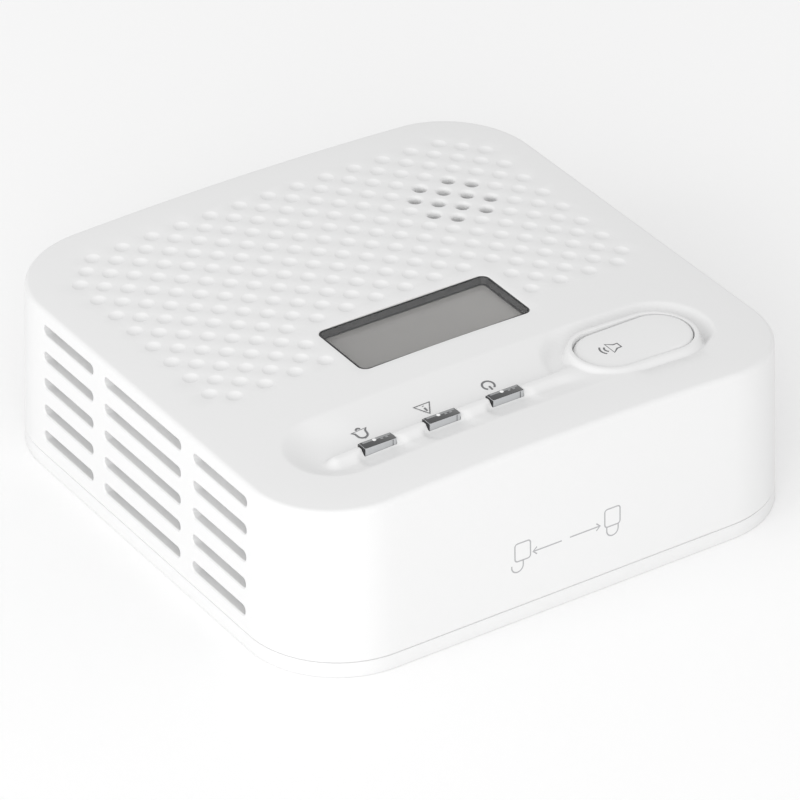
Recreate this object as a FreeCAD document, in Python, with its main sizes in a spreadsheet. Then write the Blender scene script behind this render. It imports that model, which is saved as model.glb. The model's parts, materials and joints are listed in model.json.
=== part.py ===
import FreeCAD, Part
import math
import os

import Sketcher

# A square, wall-hung carbon monoxide detector, built the way it comes apart on a bench.
# Millimetres. +X is the reader's right, +Y is the top of the face, +Z points out of the face,
# and the origin is the middle of the mounting plate's back.

doc = FreeCAD.newDocument("co_detector")
sheet = doc.addObject("Spreadsheet::Sheet", "Dims")

DIMENSIONS = {
    # outside form
    "base_width": 120.0, "base_corner": 20.3, "crest_height": 38.4, "draft_angle": 1.88,
    "crown_radius": 863.0, "rim_round": 1.1, "wall": 2.2, "split_height": 3.3, "split_gap": 0.2,
    # mounting plate
    "plate_panel": 1.7, "plate_rim": 2.2, "plate_screw_spacing": 60.0, "plate_screw_y": 38.0,
    "plate_screw_radius": 2.25, "plate_head_radius": 4.6, "plate_floor": 1.0,
    "plate_window_x": 4.0, "plate_window_width": 60.0, "plate_window_y": -11.0, "plate_window_depth": 69.0,
    "plate_window_corner": 3.0, "plate_well_wall": 1.2, "plate_well_drop": 0.5,
    "slide_travel": 8.0,
    "hook_left": -46.0, "hook_right": 42.0, "hook_y": 24.0, "hook_post": 4.0, "hook_depth": 6.0,
    "hook_lip": 5.0, "hook_overlap": 0.5, "hook_lip_thickness": 1.0, "hook_ground": 0.35, "hook_play": 0.3,
    # dimpled field and horn holes
    "dimple_pitch": 6.94, "dimple_radius": 1.65, "dimple_depth": 0.62, "field_middle_x": -0.45,
    "field_bottom": -48.0, "horn_x": -31.7, "horn_y": -27.2, "horn_hole_radius": 1.3,
    # display
    "window_x": -0.1, "window_y": 9.85, "window_width": 40.0, "window_depth": 17.0, "window_corner": 1.8,
    "lens_thickness": 1.5, "lens_sink": 0.35, "bezel_wall": 0.4, "bezel_flange": 1.7,
    "bezel_flange_height": 0.7,
    "glass_top": 35.6, "glass_thickness": 2.1, "glass_width": 46.0, "glass_depth": 24.0,
    # indicator trough, ridge and test button
    "trough_y": 36.8, "trough_radius": 10.4, "trough_half": 37.9, "trough_depth": 2.0,
    "ridge_y": 40.2, "ridge_width": 2.8, "ridge_end": 41.5, "ridge_drop": 0.25,
    "button_x": -30.1, "button_y": 38.3, "button_radius": 7.05, "button_half": 5.8, "button_rise": 0.55,
    "button_play": 0.2, "button_ring": 1.75, "button_sink": 0.15,
    "cap_floor": 32.9, "cap_round": 0.5, "button_flange_floor": 31.9, "button_flange_height": 1.2,
    "button_flange_margin": 1.1, "stem_floor": 27.7, "stem_radius": 2.2, "stem_height": 5.0,
    "pipe_length": 7.4, "pipe_width": 2.4, "pipe_pitch": 14.65, "pipe_last_x": 1.6, "pipe_foot": 28.2,
    "pipe_play": 0.2, "pipe_flange_floor": 31.8, "pipe_flange_height": 1.4, "pipe_flange_length": 2.0,
    "pipe_flange_width": 1.4, "pipe_proud": 0.1,
    "led_collar": 1.9, "led_collar_height": 1.0, "led_radius": 1.5, "led_height": 2.6,
    # cutters that go right through the face, and the blocks under it
    "cutter_floor": 30.0, "cutter_height": 12.0, "under_face": 34.0, "under_face_height": 6.0,
    "backing_floor": 33.4, "backing_height": 4.5, "backing_margin": 1.8, "backing_sink": 0.5,
    "crown_bar": 200.0, "seat_skin": 1.9, "seat_play": 0.4, "through": 8.0,
    # side vents
    "slot_pitch": 6.1, "slot_first": 8.0, "slot_height": 2.3, "slot_rows": 5.0,
    # circuit board
    "board_bottom": 22.2, "board_thickness": 1.6, "board_width": 102.0, "board_top_y": 43.5,
    "board_foot_y": -41.0, "board_screw_x": 47.0, "board_screw_high": 15.0, "board_screw_low": -38.0,
    "board_corner": 4.0, "board_hole": 1.25,
    # screw bosses in the front casing
    "case_boss_foot": 11.7, "case_boss_radius": 3.4, "case_boss_bore": 1.5, "case_boss_depth": 11.0,
    "board_boss_radius": 2.6, "board_boss_bore": 1.15, "board_boss_depth": 7.0, "boss_skin": 3.0,
    # screws
    "case_head_floor": 7.6, "case_head_radius": 2.7, "case_head_height": 2.4, "case_shank": 1.45,
    "case_shank_length": 11.0, "board_head_radius": 2.2, "board_head_height": 1.8, "board_shank": 1.1,
    "board_shank_length": 7.5, "recess_width": 0.6, "recess_depth": 0.9,
    # rear casing and battery box
    "rear_bottom": 3.7, "rear_panel": 1.8, "rear_play": 0.3, "case_screw": 48.5,
    "box_half": 23.8, "box_foot": -41.6, "box_head": 18.6, "box_wall": 1.5, "box_top": 21.5,
    "cell_radius": 7.1, "cell_length": 49.2, "nub_length": 1.3, "cell_pitch": 14.6, "cell_height": 12.75,
    "contact_thickness": 0.5, "contact_width": 12.0, "nub_radius": 2.6,
    "leaf_width": 6.0, "leaf_thickness": 0.4, "leaf_play": 0.05, "shelf_bottom": 5.45, "shelf_thickness": 1.6,
    "box_corner": 2.0, "box_inner_corner": 1.0, "doorway_corner": 0.6, "shelf_margin_x": 6.0,
    "shelf_margin_y": 8.0, "shelf_mouth": 6.0, "channel_height": 2.6,
    "screw_well": 4.4, "screw_well_height": 7.8, "screw_well_bore": 3.2, "screw_well_depth": 6.3,
    "screw_well_hole": 1.7, "screw_well_floor": 9.0, "screw_well_hole_height": 4.0,
    "socket_width": 2.8, "socket_depth": 5.0, "socket_height": 2.9, "socket_reach": 0.3, "socket_start": 1.8,
    # battery door
    "door_half": 24.0, "door_foot": -43.4, "door_hinge_y": 20.6, "door_hinge_z": 4.85, "door_thickness": 1.5,
    "door_play": 0.3, "hinge_knuckle": 1.05, "hinge_pin": 0.7, "hinge_clearance": 0.06,
    "hinge_pin_length": 1.8,
    "grip_offset": 7.0, "grip_length": 14.0, "grip_width": 3.0, "grip_depth": 0.6,
    # test switch
    "switch_width": 6.0, "switch_height": 2.4, "switch_floor": 0.5, "switch_throat": 1.9,
    "plunger_foot": 1.3, "plunger_radius": 1.75, "plunger_top": 27.6,
    # sensing and sounding parts
    "sensor_x": 38.0, "sensor_y": -12.0, "sensor_radius": 10.0, "horn_radius": 15.3, "horn_top": 34.3,
    "piezo_radius": 13.5,
    "sensor_lift": 0.6, "sensor_height": 7.4, "sensor_pin": 0.6, "sensor_pin_circle": 6.0,
    "sensor_cap_step": 1.2,
    "sensor_cap_height": 2.2, "sensor_mouth": 2.5, "sensor_mouth_floor": 1.0,
    "horn_lift": 0.2, "horn_throat": 4.5, "horn_front_floor": 30.6, "horn_front_height": 2.5,
    "horn_floor": 1.0,
    "horn_room_play": 0.15, "piezo_floor": 30.2, "piezo_thickness": 0.35, "ceramic_floor": 29.9,
    "ceramic_radius": 10.0, "mesh_radius": 9.0, "mesh_thickness": 0.3, "mesh_lift": 0.05,
    "chip_x": 9.0, "chip_y": -26.0, "chip_width": 10.0, "chip_height": 1.6,
    "coil_x": -6.0, "coil_y": -20.0, "coil_radius": 4.6, "coil_height": 9.0, "coil_waist": 3.4,
    "coil_waist_floor": 1.2, "coil_waist_height": 6.4,
    "capacitor_x": 22.0, "capacitor_y": -32.0, "capacitor_radius": 4.0, "capacitor_height": 10.5,
    # leads
    "battery_lead_radius": 0.6, "piezo_lead_radius": 0.45,
    # side baffles
    "baffle_inset": 4.7, "baffle_thickness": 1.2, "baffle_half": 40.0, "baffle_height": 28.5,
}

for row, (alias, number) in enumerate(DIMENSIONS.items(), start=1):
    sheet.set(f"A{row}", alias.replace("_", " "))
    sheet.set(f"B{row}", str(number))
    sheet.setAlias(f"B{row}", alias)
doc.recompute()

NODES = {}
TURN_TO_Y = FreeCAD.Rotation(FreeCAD.Vector(1, 0, 0), -90)
TURN_TO_X = FreeCAD.Rotation(FreeCAD.Vector(0, 1, 0), 90)


def value(expression):
    """The number that an expression on the sheet gives now."""
    return float(sheet.evalExpression(str(expression)))


def bind(thing, **expressions):
    """Ties properties of an object to the sheet; a double underscore stands for a dot."""
    for name, expression in expressions.items():
        thing.setExpression(name.replace("__", "."), str(expression))
    return thing


def put(thing, x="0", y="0", z="0", turn=None):
    """Turns an object, then ties its place to the sheet."""
    if turn is not None:
        thing.Placement = FreeCAD.Placement(FreeCAD.Vector(0, 0, 0), turn)
    return bind(thing, Placement__Base__x=x, Placement__Base__y=y, Placement__Base__z=z)


def node(thing, label):
    """Marks an object as one of the detector's pieces."""
    thing.Label = label
    NODES[label] = thing
    return thing


# ---- plain solids ----

def block(name, x, y, z, length, width, height):
    """A box centred on x and y that stands on z."""
    box = bind(doc.addObject("Part::Box", name), Length=length, Width=width, Height=height)
    return put(box, f"({x}) - ({length}) / 2", f"({y}) - ({width}) / 2", z)


def rod(name, x, y, z, radius, height, turn=None):
    """A cylinder that starts at a point and runs along +Z, or along the turned axis."""
    cylinder = bind(doc.addObject("Part::Cylinder", name), Radius=radius, Height=height)
    return put(cylinder, x, y, z, turn)


def fuse(name, *pieces):
    whole = doc.addObject("Part::MultiFuse", name)
    whole.Shapes = list(pieces)
    whole.Refine = False
    return whole


def cut(name, base, tool):
    result = doc.addObject("Part::Cut", name)
    result.Base = base
    result.Tool = tool
    result.Refine = False
    return result


def common(name, base, tool):
    result = doc.addObject("Part::Common", name)
    result.Base = base
    result.Tool = tool
    result.Refine = False
    return result


def group(name, *pieces):
    """Separate like solids that share one node."""
    together = doc.addObject("Part::Compound", name)
    together.Links = list(pieces)
    return together


def fixed_shape(name, shape):
    """A piece or cutter that is made directly from sizes read off the sheet."""
    feature = doc.addObject("Part::Feature", name)
    feature.Shape = shape
    return feature


# ---- sketched solids ----

def new_body(name):
    return doc.addObject("PartDesign::Body", name)


def sketch_on(body, name, height="0"):
    """An empty sketch on its body's own XY plane, raised to a height."""
    plane = next(f for f in body.Origin.OriginFeatures if f.Role == "XY_Plane")
    sketch = body.newObject("Sketcher::SketchObject", name)
    sketch.AttachmentSupport = [(plane, "")]
    sketch.MapMode = "FlatFace"
    bind(sketch, AttachmentOffset__Base__z=height)
    return sketch


def name_constraint(sketch, name, expression, *definition):
    index = sketch.addConstraint(Sketcher.Constraint(*definition, value(expression)))
    sketch.renameConstraint(index, name)
    sketch.setExpression(f"Constraints.{name}", str(expression))


def draw_rounded_rectangle(sketch, width, depth, corner, x="0", y="0"):
    """Four sides and four equal corner arcs, centred on x and y."""
    w, d, r = value(width) / 2, value(depth) / 2, value(corner)
    cx, cy = value(x), value(y)
    corners = [(w - r, -d + r, -90), (w - r, d - r, 0), (-w + r, d - r, 90), (-w + r, -d + r, 180)]
    sides = [(-w + r, -d, w - r, -d), (w, -d + r, w, d - r), (w - r, d, -w + r, d), (-w, d - r, -w, -d + r)]
    for x1, y1, x2, y2 in sides:
        start = FreeCAD.Vector(cx + x1, cy + y1, 0)
        sketch.addGeometry(Part.LineSegment(start, FreeCAD.Vector(cx + x2, cy + y2, 0)))
    for ax, ay, begin in corners:
        circle = Part.Circle(FreeCAD.Vector(cx + ax, cy + ay, 0), FreeCAD.Vector(0, 0, 1), r)
        sketch.addGeometry(Part.ArcOfCircle(circle, math.radians(begin), math.radians(begin + 90)))
    for side in range(4):
        arc = 4 + side
        sketch.addConstraint(Sketcher.Constraint("Tangent", side, 2, arc, 1))
        sketch.addConstraint(Sketcher.Constraint("Tangent", arc, 2, (side + 1) % 4, 1))
    sketch.addConstraint(Sketcher.Constraint("Horizontal", 0))
    sketch.addConstraint(Sketcher.Constraint("Horizontal", 2))
    sketch.addConstraint(Sketcher.Constraint("Vertical", 1))
    sketch.addConstraint(Sketcher.Constraint("Vertical", 3))
    for arc in (5, 6, 7):
        sketch.addConstraint(Sketcher.Constraint("Equal", 4, arc))
    name_constraint(sketch, "corner", corner, "Radius", 4)
    name_constraint(sketch, "width", width, "DistanceX", 3, 1, 1, 1)
    name_constraint(sketch, "depth", depth, "DistanceY", 0, 1, 2, 1)
    name_constraint(sketch, "left", f"({x}) - ({width}) / 2", "DistanceX", -1, 1, 3, 1)
    name_constraint(sketch, "foot", f"({y}) - ({depth}) / 2", "DistanceY", -1, 1, 0, 1)
    return sketch


def draw_pill(sketch, half, radius, x="0", y="0"):
    """Two straight sides joined by half circles, long way along X; half is half a straight side."""
    h, r, cx, cy = value(half), value(radius), value(x), value(y)
    for sign in (-1, 1):
        start = FreeCAD.Vector(cx + sign * h, cy + sign * r, 0)
        sketch.addGeometry(Part.LineSegment(start, FreeCAD.Vector(cx - sign * h, cy + sign * r, 0)))
    for sign, begin in ((1, -90), (-1, 90)):
        circle = Part.Circle(FreeCAD.Vector(cx + sign * h, cy, 0), FreeCAD.Vector(0, 0, 1), r)
        sketch.addGeometry(Part.ArcOfCircle(circle, math.radians(begin), math.radians(begin + 180)))
    for first, second in ((0, 2), (2, 1), (1, 3), (3, 0)):
        sketch.addConstraint(Sketcher.Constraint("Tangent", first, 2, second, 1))
    sketch.addConstraint(Sketcher.Constraint("Horizontal", 0))
    name_constraint(sketch, "radius", radius, "Radius", 2)
    name_constraint(sketch, "straight", f"2 * ({half})", "DistanceX", 3, 3, 2, 3)
    name_constraint(sketch, "left", f"({x}) - ({half})", "DistanceX", -1, 1, 3, 3)
    name_constraint(sketch, "middle", y, "DistanceY", -1, 1, 3, 3)
    return sketch


def draw_circle(sketch, radius, x="0", y="0"):
    centre = FreeCAD.Vector(value(x), value(y), 0)
    index = sketch.addGeometry(Part.Circle(centre, FreeCAD.Vector(0, 0, 1), value(radius)))
    tag = f"hole{index}"
    name_constraint(sketch, f"{tag}_radius", radius, "Radius", index)
    name_constraint(sketch, f"{tag}_x", x, "DistanceX", -1, 1, index, 3)
    name_constraint(sketch, f"{tag}_y", y, "DistanceY", -1, 1, index, 3)
    return sketch


def pad(body, sketch, height, taper="0"):
    feature = body.newObject("PartDesign::Pad", f"{sketch.Name}_pad")
    feature.Profile = sketch
    return bind(feature, Length=height, TaperAngle=taper)


def pocket(body, sketch, height):
    """Cuts upwards from the sketch's plane, and checks that it took something away."""
    doc.recompute()
    before = body.Shape.Volume
    feature = body.newObject("PartDesign::Pocket", f"{sketch.Name}_pocket")
    feature.Profile = sketch
    feature.Reversed = True
    bind(feature, Length=height)
    doc.recompute()
    if body.Shape.Volume >= before:
        raise RuntimeError(f"{feature.Name} cut nothing")
    return feature


def plate_body(name, z, height, *rectangle, taper="0"):
    """A body of one padded rounded rectangle."""
    body = new_body(name)
    pad(body, draw_rounded_rectangle(sketch_on(body, f"{name}_outline", z), *rectangle), height, taper)
    return body


def pill_body(name, z, height, half, radius, x, y, taper="0"):
    body = new_body(name)
    pad(body, draw_pill(sketch_on(body, f"{name}_outline", z), half, radius, x, y), height, taper)
    return body


def crown(name, drop):
    """The long cylinder whose top is the face's crown, lowered by drop."""
    radius = f"Dims.crown_radius - ({drop})"
    bar = rod(name, "0", "-Dims.crown_bar / 2", "Dims.crest_height - Dims.crown_radius", radius,
              "Dims.crown_bar",
              TURN_TO_Y)
    return bar


# ---- casing ----

def narrowing(height):
    """How far the drafted side has come in at a height above the back."""
    return f"({height}) * tan(Dims.draft_angle * 1deg)"


def drafted_block(name, z, height, inset):
    """A rounded square that narrows upwards with the casing's draft, set in by inset."""
    width = f"Dims.base_width - 2 * ({narrowing(z)}) - 2 * ({inset})"
    corner = f"Dims.base_corner - ({narrowing(z)}) - ({inset})"
    return plate_body(name, z, height, width, width, corner, taper="-Dims.draft_angle")


def dimple_centres():
    """Places on the diagonal lattice, row by row, without the horn's holes or the window's place."""
    pitch = value("Dims.dimple_pitch")
    middle, bottom = value("Dims.field_middle_x"), value("Dims.field_bottom")
    dimples, holes = [], []
    for half_row in range(18):
        columns = 13 if half_row == 0 else 15 - half_row % 2
        y = bottom + half_row * pitch / 2
        for column in range(columns):
            x = middle + (column - (columns - 1) / 2) * pitch
            beside_horn = math.hypot(x - value("Dims.horn_x"), y - value("Dims.horn_y"))
            if beside_horn < 1.2 * pitch:
                holes.append((x, y))
            elif half_row < 14 or abs(x) > value("Dims.window_width / 2 + Dims.dimple_radius"):
                dimples.append((x, y))
    return dimples, holes


def face_height(x):
    """Height of the crowned face over a place across it."""
    radius = value("Dims.crown_radius")
    return value("Dims.crest_height") - radius + math.sqrt(radius * radius - x * x)


def face_cutters():
    """One ball for each shallow dimple, and one straight drill for each horn hole."""
    radius, depth = value("Dims.dimple_radius"), value("Dims.dimple_depth")
    ball = (radius * radius + depth * depth) / (2 * depth)
    dimples, holes = dimple_centres()
    shapes = []
    for x, y in dimples:
        centre = FreeCAD.Vector(x, y, face_height(x) + ball - depth)
        shapes.append(Part.makeSphere(ball, centre))
    drill = value("Dims.horn_hole_radius")
    for x, y in holes:
        foot = FreeCAD.Vector(x, y, value("Dims.cutter_floor"))
        shapes.append(Part.makeCylinder(drill, value("Dims.cutter_height"), foot))
    return fixed_shape("face_cutters", Part.makeCompound(shapes))


def vent_cutters():
    """Round-ended slots in three columns and five rows, through both side walls."""
    columns = ((-37.5, -18.4), (-14.3, 14.3), (18.6, 38.0))
    radius = value("Dims.slot_height / 2")
    reach = value("Dims.wall + 6")
    outside = value("Dims.base_width / 2 + 1")
    shapes = []
    for side in (-1, 1):
        start = outside if side > 0 else -outside
        for row in range(int(value("Dims.slot_rows"))):
            z = value("Dims.slot_first") + row * value("Dims.slot_pitch")
            for near, far in columns:
                low, high = near + radius, far - radius
                lower = Part.LineSegment(FreeCAD.Vector(start, low, z - radius),
                                         FreeCAD.Vector(start, high, z - radius))
                end = Part.Arc(lower.EndPoint, FreeCAD.Vector(start, far, z),
                               FreeCAD.Vector(start, high, z + radius))
                upper = Part.LineSegment(end.EndPoint, FreeCAD.Vector(start, low, z + radius))
                back = Part.Arc(upper.EndPoint, FreeCAD.Vector(start, near, z), lower.StartPoint)
                outline = Part.Wire([edge.toShape() for edge in (lower, end, upper, back)])
                shapes.append(Part.Face(outline).extrude(FreeCAD.Vector(-side * reach, 0, 0)))
    return fixed_shape("vent_cutters", Part.makeCompound(shapes))


def corners_of(x, y):
    return [(f"{sx} * {x}", f"{sy} * {y}") for sx in (-1, 1) for sy in (-1, 1)]


def board_screw_places():
    high, low = "Dims.board_screw_high", "Dims.board_screw_low"
    return [(f"{side} * Dims.board_screw_x", y) for side in (-1, 1) for y in (high, low)]


def hollow_boss(name, x, y, z, outer, bore, depth):
    """A round boss that runs up into the casing, and the cutter for its screw hole."""
    boss = rod(f"{name}_boss", x, y, z, outer, f"Dims.crest_height - Dims.boss_skin - ({z})")
    hole = rod(f"{name}_bore", x, y, f"({z}) - 1", bore, f"({depth}) + 1")
    return boss, hole


def front_casing():
    bottom = "Dims.split_height + Dims.split_gap"
    outside = common("casing_outside", drafted_block("casing_block", bottom, "Dims.crest_height", "0"),
                     crown("face_crown", "0"))
    doc.recompute()
    rounded = doc.addObject("Part::Fillet", "casing_rounded")
    rounded.Base = outside
    floor = value("Dims.crest_height - 4")
    rim = [i for i, edge in enumerate(outside.Shape.Edges, start=1) if edge.BoundBox.ZMin > floor]
    radius = value("Dims.rim_round")
    rounded.Edges = [(i, radius, radius) for i in rim]
    inside = common("casing_inside",
                    drafted_block("cavity_block", f"{bottom} - 0.5", "Dims.crest_height", "Dims.wall"),
                    crown("inner_crown", "Dims.wall"))
    shell = cut("casing_shell", rounded, inside)

    under_trough = pill_body("trough_backing_block", "Dims.backing_floor", "Dims.backing_height",
                             "Dims.trough_half", "Dims.trough_radius + Dims.backing_margin", "0",
                             "Dims.trough_y")
    under_trough = common("trough_backing", under_trough, crown("trough_crown", "Dims.backing_sink"))
    trough = pill_body("trough_block", "Dims.cutter_floor", "Dims.cutter_height", "Dims.trough_half",
                       "Dims.trough_radius", "0", "Dims.trough_y")
    trough = cut("trough_cutter", trough, crown("trough_floor", "Dims.trough_depth"))
    ring = pill_body("button_ring_block", "Dims.under_face", "Dims.under_face_height", "Dims.button_half",
                     "Dims.button_radius + Dims.button_play + Dims.button_ring", "Dims.button_x",
                     "Dims.button_y")
    ring = common("button_ring", ring, crown("ring_crown", "-Dims.button_rise"))
    ridge_start = "Dims.button_x + Dims.button_half + Dims.button_radius"
    ridge = block("ridge_block", f"(({ridge_start}) + Dims.ridge_end) / 2", "Dims.ridge_y",
                  "Dims.under_face", f"Dims.ridge_end - ({ridge_start})", "Dims.ridge_width",
                  "Dims.under_face_height")
    ridge = common("ridge", ridge, crown("ridge_crown", "Dims.ridge_drop"))

    bosses, bores = [], []
    for index, (x, y) in enumerate(corners_of("Dims.case_screw", "Dims.case_screw")):
        boss, bore = hollow_boss(f"case_{index}", x, y, "Dims.case_boss_foot", "Dims.case_boss_radius",
                                 "Dims.case_boss_bore", "Dims.case_boss_depth")
        bosses.append(boss)
        bores.append(bore)
    for index, (x, y) in enumerate(board_screw_places()):
        boss, bore = hollow_boss(f"board_{index}", x, y, "Dims.board_bottom + Dims.board_thickness",
                                 "Dims.board_boss_radius", "Dims.board_boss_bore", "Dims.board_boss_depth")
        bosses.append(boss)
        bores.append(bore)
    bosses = common("bosses", fuse("boss_rods", *bosses), crown("boss_crown", "Dims.wall / 2"))

    button_well = pill_body("button_well", "Dims.cutter_floor", "Dims.cutter_height", "Dims.button_half",
                            "Dims.button_radius + Dims.button_play", "Dims.button_x", "Dims.button_y")
    window = plate_body("window_opening", "Dims.cutter_floor", "Dims.cutter_height", "Dims.window_width",
                        "Dims.window_depth", "Dims.window_corner", "Dims.window_x", "Dims.window_y")
    seat = plate_body("window_seat", "Dims.cutter_floor",
                      "Dims.crest_height - Dims.seat_skin - Dims.cutter_floor",
                      "Dims.window_width + 2 * Dims.bezel_flange + Dims.seat_play",
                      "Dims.window_depth + 2 * Dims.bezel_flange + Dims.seat_play", "Dims.window_corner",
                      "Dims.window_x", "Dims.window_y")
    pipes = [block(f"pipe_slot_{i}", f"Dims.pipe_last_x + {i} * Dims.pipe_pitch", "Dims.ridge_y",
                   "Dims.cutter_floor", "Dims.pipe_length + Dims.pipe_play",
                   "Dims.pipe_width + Dims.pipe_play",
                   "Dims.cutter_height") for i in range(3)]
    solid = fuse("casing_solid", cut("casing_troughed", fuse("casing_backed", shell, under_trough), trough),
                 ring, ridge, bosses)
    openings = fuse("casing_openings", button_well, window, seat, *pipes, *bores)
    opened = cut("casing_opened", solid, openings)
    vented = cut("casing_vented", opened, vent_cutters())
    return node(cut("front_casing_piece", vented, face_cutters()), "front_casing")


def hook_places():
    return [(x, f"{sy} * Dims.hook_y") for x in ("Dims.hook_left", "Dims.hook_right") for sy in (-1, 1)]


def rear_casing():
    """Back panel with the battery box, screw wells, door hinge sockets and slide hooks."""
    body = new_body("rear_casing_body")
    bottom = "Dims.rear_bottom"
    width = f"Dims.base_width - 2 * ({narrowing(bottom)}) - 2 * Dims.wall - 2 * Dims.rear_play - 0.2"
    corner = "Dims.base_corner - Dims.wall - Dims.rear_play - 0.3"
    pad(body, draw_rounded_rectangle(sketch_on(body, "rear_outline", bottom), width, width, corner),
        "Dims.rear_panel")
    depth, middle = "(Dims.box_head - Dims.box_foot)", "(Dims.box_head + Dims.box_foot) / 2"
    pad(body, draw_rounded_rectangle(sketch_on(body, "box_outline", bottom), "2 * Dims.box_half", depth,
                                     "Dims.box_corner", "0", middle), f"Dims.box_top - {bottom}")
    inner = "2 * Dims.box_half - 2 * Dims.box_wall"
    pocket(body, draw_rounded_rectangle(sketch_on(body, "box_inside", f"{bottom} - 1"), inner,
                                        f"{depth} - 2 * Dims.box_wall", "Dims.box_inner_corner", "0", middle),
           f"Dims.box_top - Dims.box_wall - {bottom} + 1")
    doorway = "Dims.door_hinge_y + Dims.hinge_knuckle + Dims.door_play - Dims.door_foot + Dims.door_play"
    pocket(body, draw_rounded_rectangle(sketch_on(body, "doorway", f"{bottom} - 1"),
                                        "2 * (Dims.door_half + Dims.door_play)", doorway,
                                        "Dims.doorway_corner", "0",
                                        f"Dims.door_foot - Dims.door_play + ({doorway}) / 2"),
           "Dims.rear_panel + 1")
    shelf = block("box_shelf", "0", "(Dims.door_foot + Dims.door_hinge_y) / 2", "Dims.shelf_bottom",
                  "2 * Dims.door_half + Dims.shelf_margin_x",
                  "Dims.door_hinge_y - Dims.door_foot + Dims.shelf_margin_y", "Dims.shelf_thickness")
    shelf_mouth = block("shelf_mouth", "0", middle, bottom, inner, f"{depth} - 2 * Dims.box_wall",
                        "Dims.shelf_mouth")
    channel = block("hinge_channel", "0", "Dims.door_hinge_y", bottom,
                    "2 * (Dims.door_half + Dims.door_play)",
                    "2 * (Dims.hinge_knuckle + Dims.door_play)", "Dims.channel_height")
    pieces = [body, shelf]
    cutters = [shelf_mouth, channel]
    for index, (x, y) in enumerate(corners_of("Dims.case_screw", "Dims.case_screw")):
        pieces.append(rod(f"well_{index}", x, y, bottom, "Dims.screw_well", "Dims.screw_well_height"))
        cutters.append(rod(f"well_bore_{index}", x, y, f"{bottom} - 1", "Dims.screw_well_bore",
                           "Dims.screw_well_depth + 1"))
        cutters.append(rod(f"well_hole_{index}", x, y, "Dims.screw_well_floor", "Dims.screw_well_hole",
                           "Dims.screw_well_hole_height"))
    for side in (-1, 1):
        edge = f"{side} * (Dims.door_half + Dims.door_play + Dims.socket_width / 2)"
        pieces.append(block(f"socket_{side}", edge, "Dims.door_hinge_y", bottom, "Dims.socket_width",
                            "Dims.socket_depth", "Dims.socket_height"))
        reach = "Dims.hinge_pin_length + Dims.socket_reach"
        start = "-Dims.door_half - Dims.door_play - Dims.socket_start" if side < 0 else "Dims.door_half"
        cutters.append(rod(f"socket_bore_{side}", start, "Dims.door_hinge_y", "Dims.door_hinge_z",
                           "Dims.hinge_pin + Dims.hinge_clearance", reach, TURN_TO_X))
    for index, (x, y) in enumerate(hook_places()):
        pieces.append(block(f"hook_post_{index}", x, y, "Dims.hook_ground", "Dims.hook_post",
                            "Dims.hook_depth", f"{bottom} + Dims.hook_overlap - Dims.hook_ground"))
        pieces.append(block(f"hook_lip_{index}",
                            f"{x} - (Dims.hook_post + Dims.hook_lip - Dims.hook_overlap) / 2",
                            y, "Dims.hook_ground", "Dims.hook_lip + Dims.hook_overlap", "Dims.hook_depth",
                            "Dims.hook_lip_thickness"))
    whole = cut("rear_casing_piece", fuse("rear_solid", *pieces), fuse("rear_cutters", *cutters))
    return node(whole, "rear_casing")


def mounting_plate():
    """Shallow tray that screws to the wall; the casing's hooks slide under its panel."""
    solid = drafted_block("plate_block", "0", "Dims.split_height", "0")
    under = "Dims.split_height - Dims.plate_panel"
    hollow = plate_body("plate_hollow", "-1", f"{under} + 1", "Dims.base_width - 2 * Dims.plate_rim",
                        "Dims.base_width - 2 * Dims.plate_rim", "Dims.base_corner - Dims.plate_rim")
    window = plate_body("plate_window", "-1", "Dims.through", "Dims.plate_window_width",
                        "Dims.plate_window_depth",
                        "Dims.plate_window_corner", "Dims.plate_window_x", "Dims.plate_window_y")
    tray = cut("plate_tray", solid, hollow)
    wells, cutters = [], [window]
    for side in (-1, 1):
        x = f"{side} * Dims.plate_screw_spacing / 2"
        wells.append(rod(f"screw_well_{side}", x, "Dims.plate_screw_y", "0",
                         "Dims.plate_head_radius + Dims.plate_well_wall",
                         "Dims.split_height - Dims.plate_well_drop"))
        cutters.append(rod(f"screw_cup_{side}", x, "Dims.plate_screw_y", "Dims.plate_floor",
                           "Dims.plate_head_radius", "Dims.through"))
        cutters.append(rod(f"screw_hole_{side}", x, "Dims.plate_screw_y", "-1", "Dims.plate_screw_radius",
                           "Dims.through"))
    for index, (x, y) in enumerate(hook_places()):
        length = "Dims.hook_post + Dims.slide_travel + 2 * Dims.hook_play"
        cutters.append(block(f"hook_slot_{index}", f"{x} + Dims.slide_travel / 2", y, "-1", length,
                             "Dims.hook_depth + 2 * Dims.hook_play", "Dims.through"))
    whole = cut("mounting_plate_piece", fuse("plate_solid", tray, *wells), fuse("plate_cutters", *cutters))
    return node(whole, "mounting_plate")


def battery_door():
    """Flat flap with a round hinge edge and two stub pins."""
    middle_y = "(Dims.door_foot + Dims.door_hinge_y) / 2"
    flap = block("door_flap", "0", middle_y, "Dims.rear_bottom + 0.1", "2 * Dims.door_half",
                 "Dims.door_hinge_y - Dims.door_foot", "Dims.door_thickness")
    knuckle = rod("door_knuckle", "-Dims.door_half", "Dims.door_hinge_y", "Dims.door_hinge_z",
                  "Dims.hinge_knuckle", "2 * Dims.door_half", TURN_TO_X)
    pin = rod("door_pin", "-Dims.door_half - Dims.hinge_pin_length", "Dims.door_hinge_y", "Dims.door_hinge_z",
              "Dims.hinge_pin", "2 * (Dims.door_half + Dims.hinge_pin_length)", TURN_TO_X)
    grip = block("door_grip", "0", "Dims.door_foot + Dims.grip_offset", "Dims.rear_bottom",
                 "Dims.grip_length",
                 "Dims.grip_width", "Dims.grip_depth + 0.1")
    return node(cut("battery_door_piece", fuse("door_solid", flap, knuckle, pin), grip), "battery_door")


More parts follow.
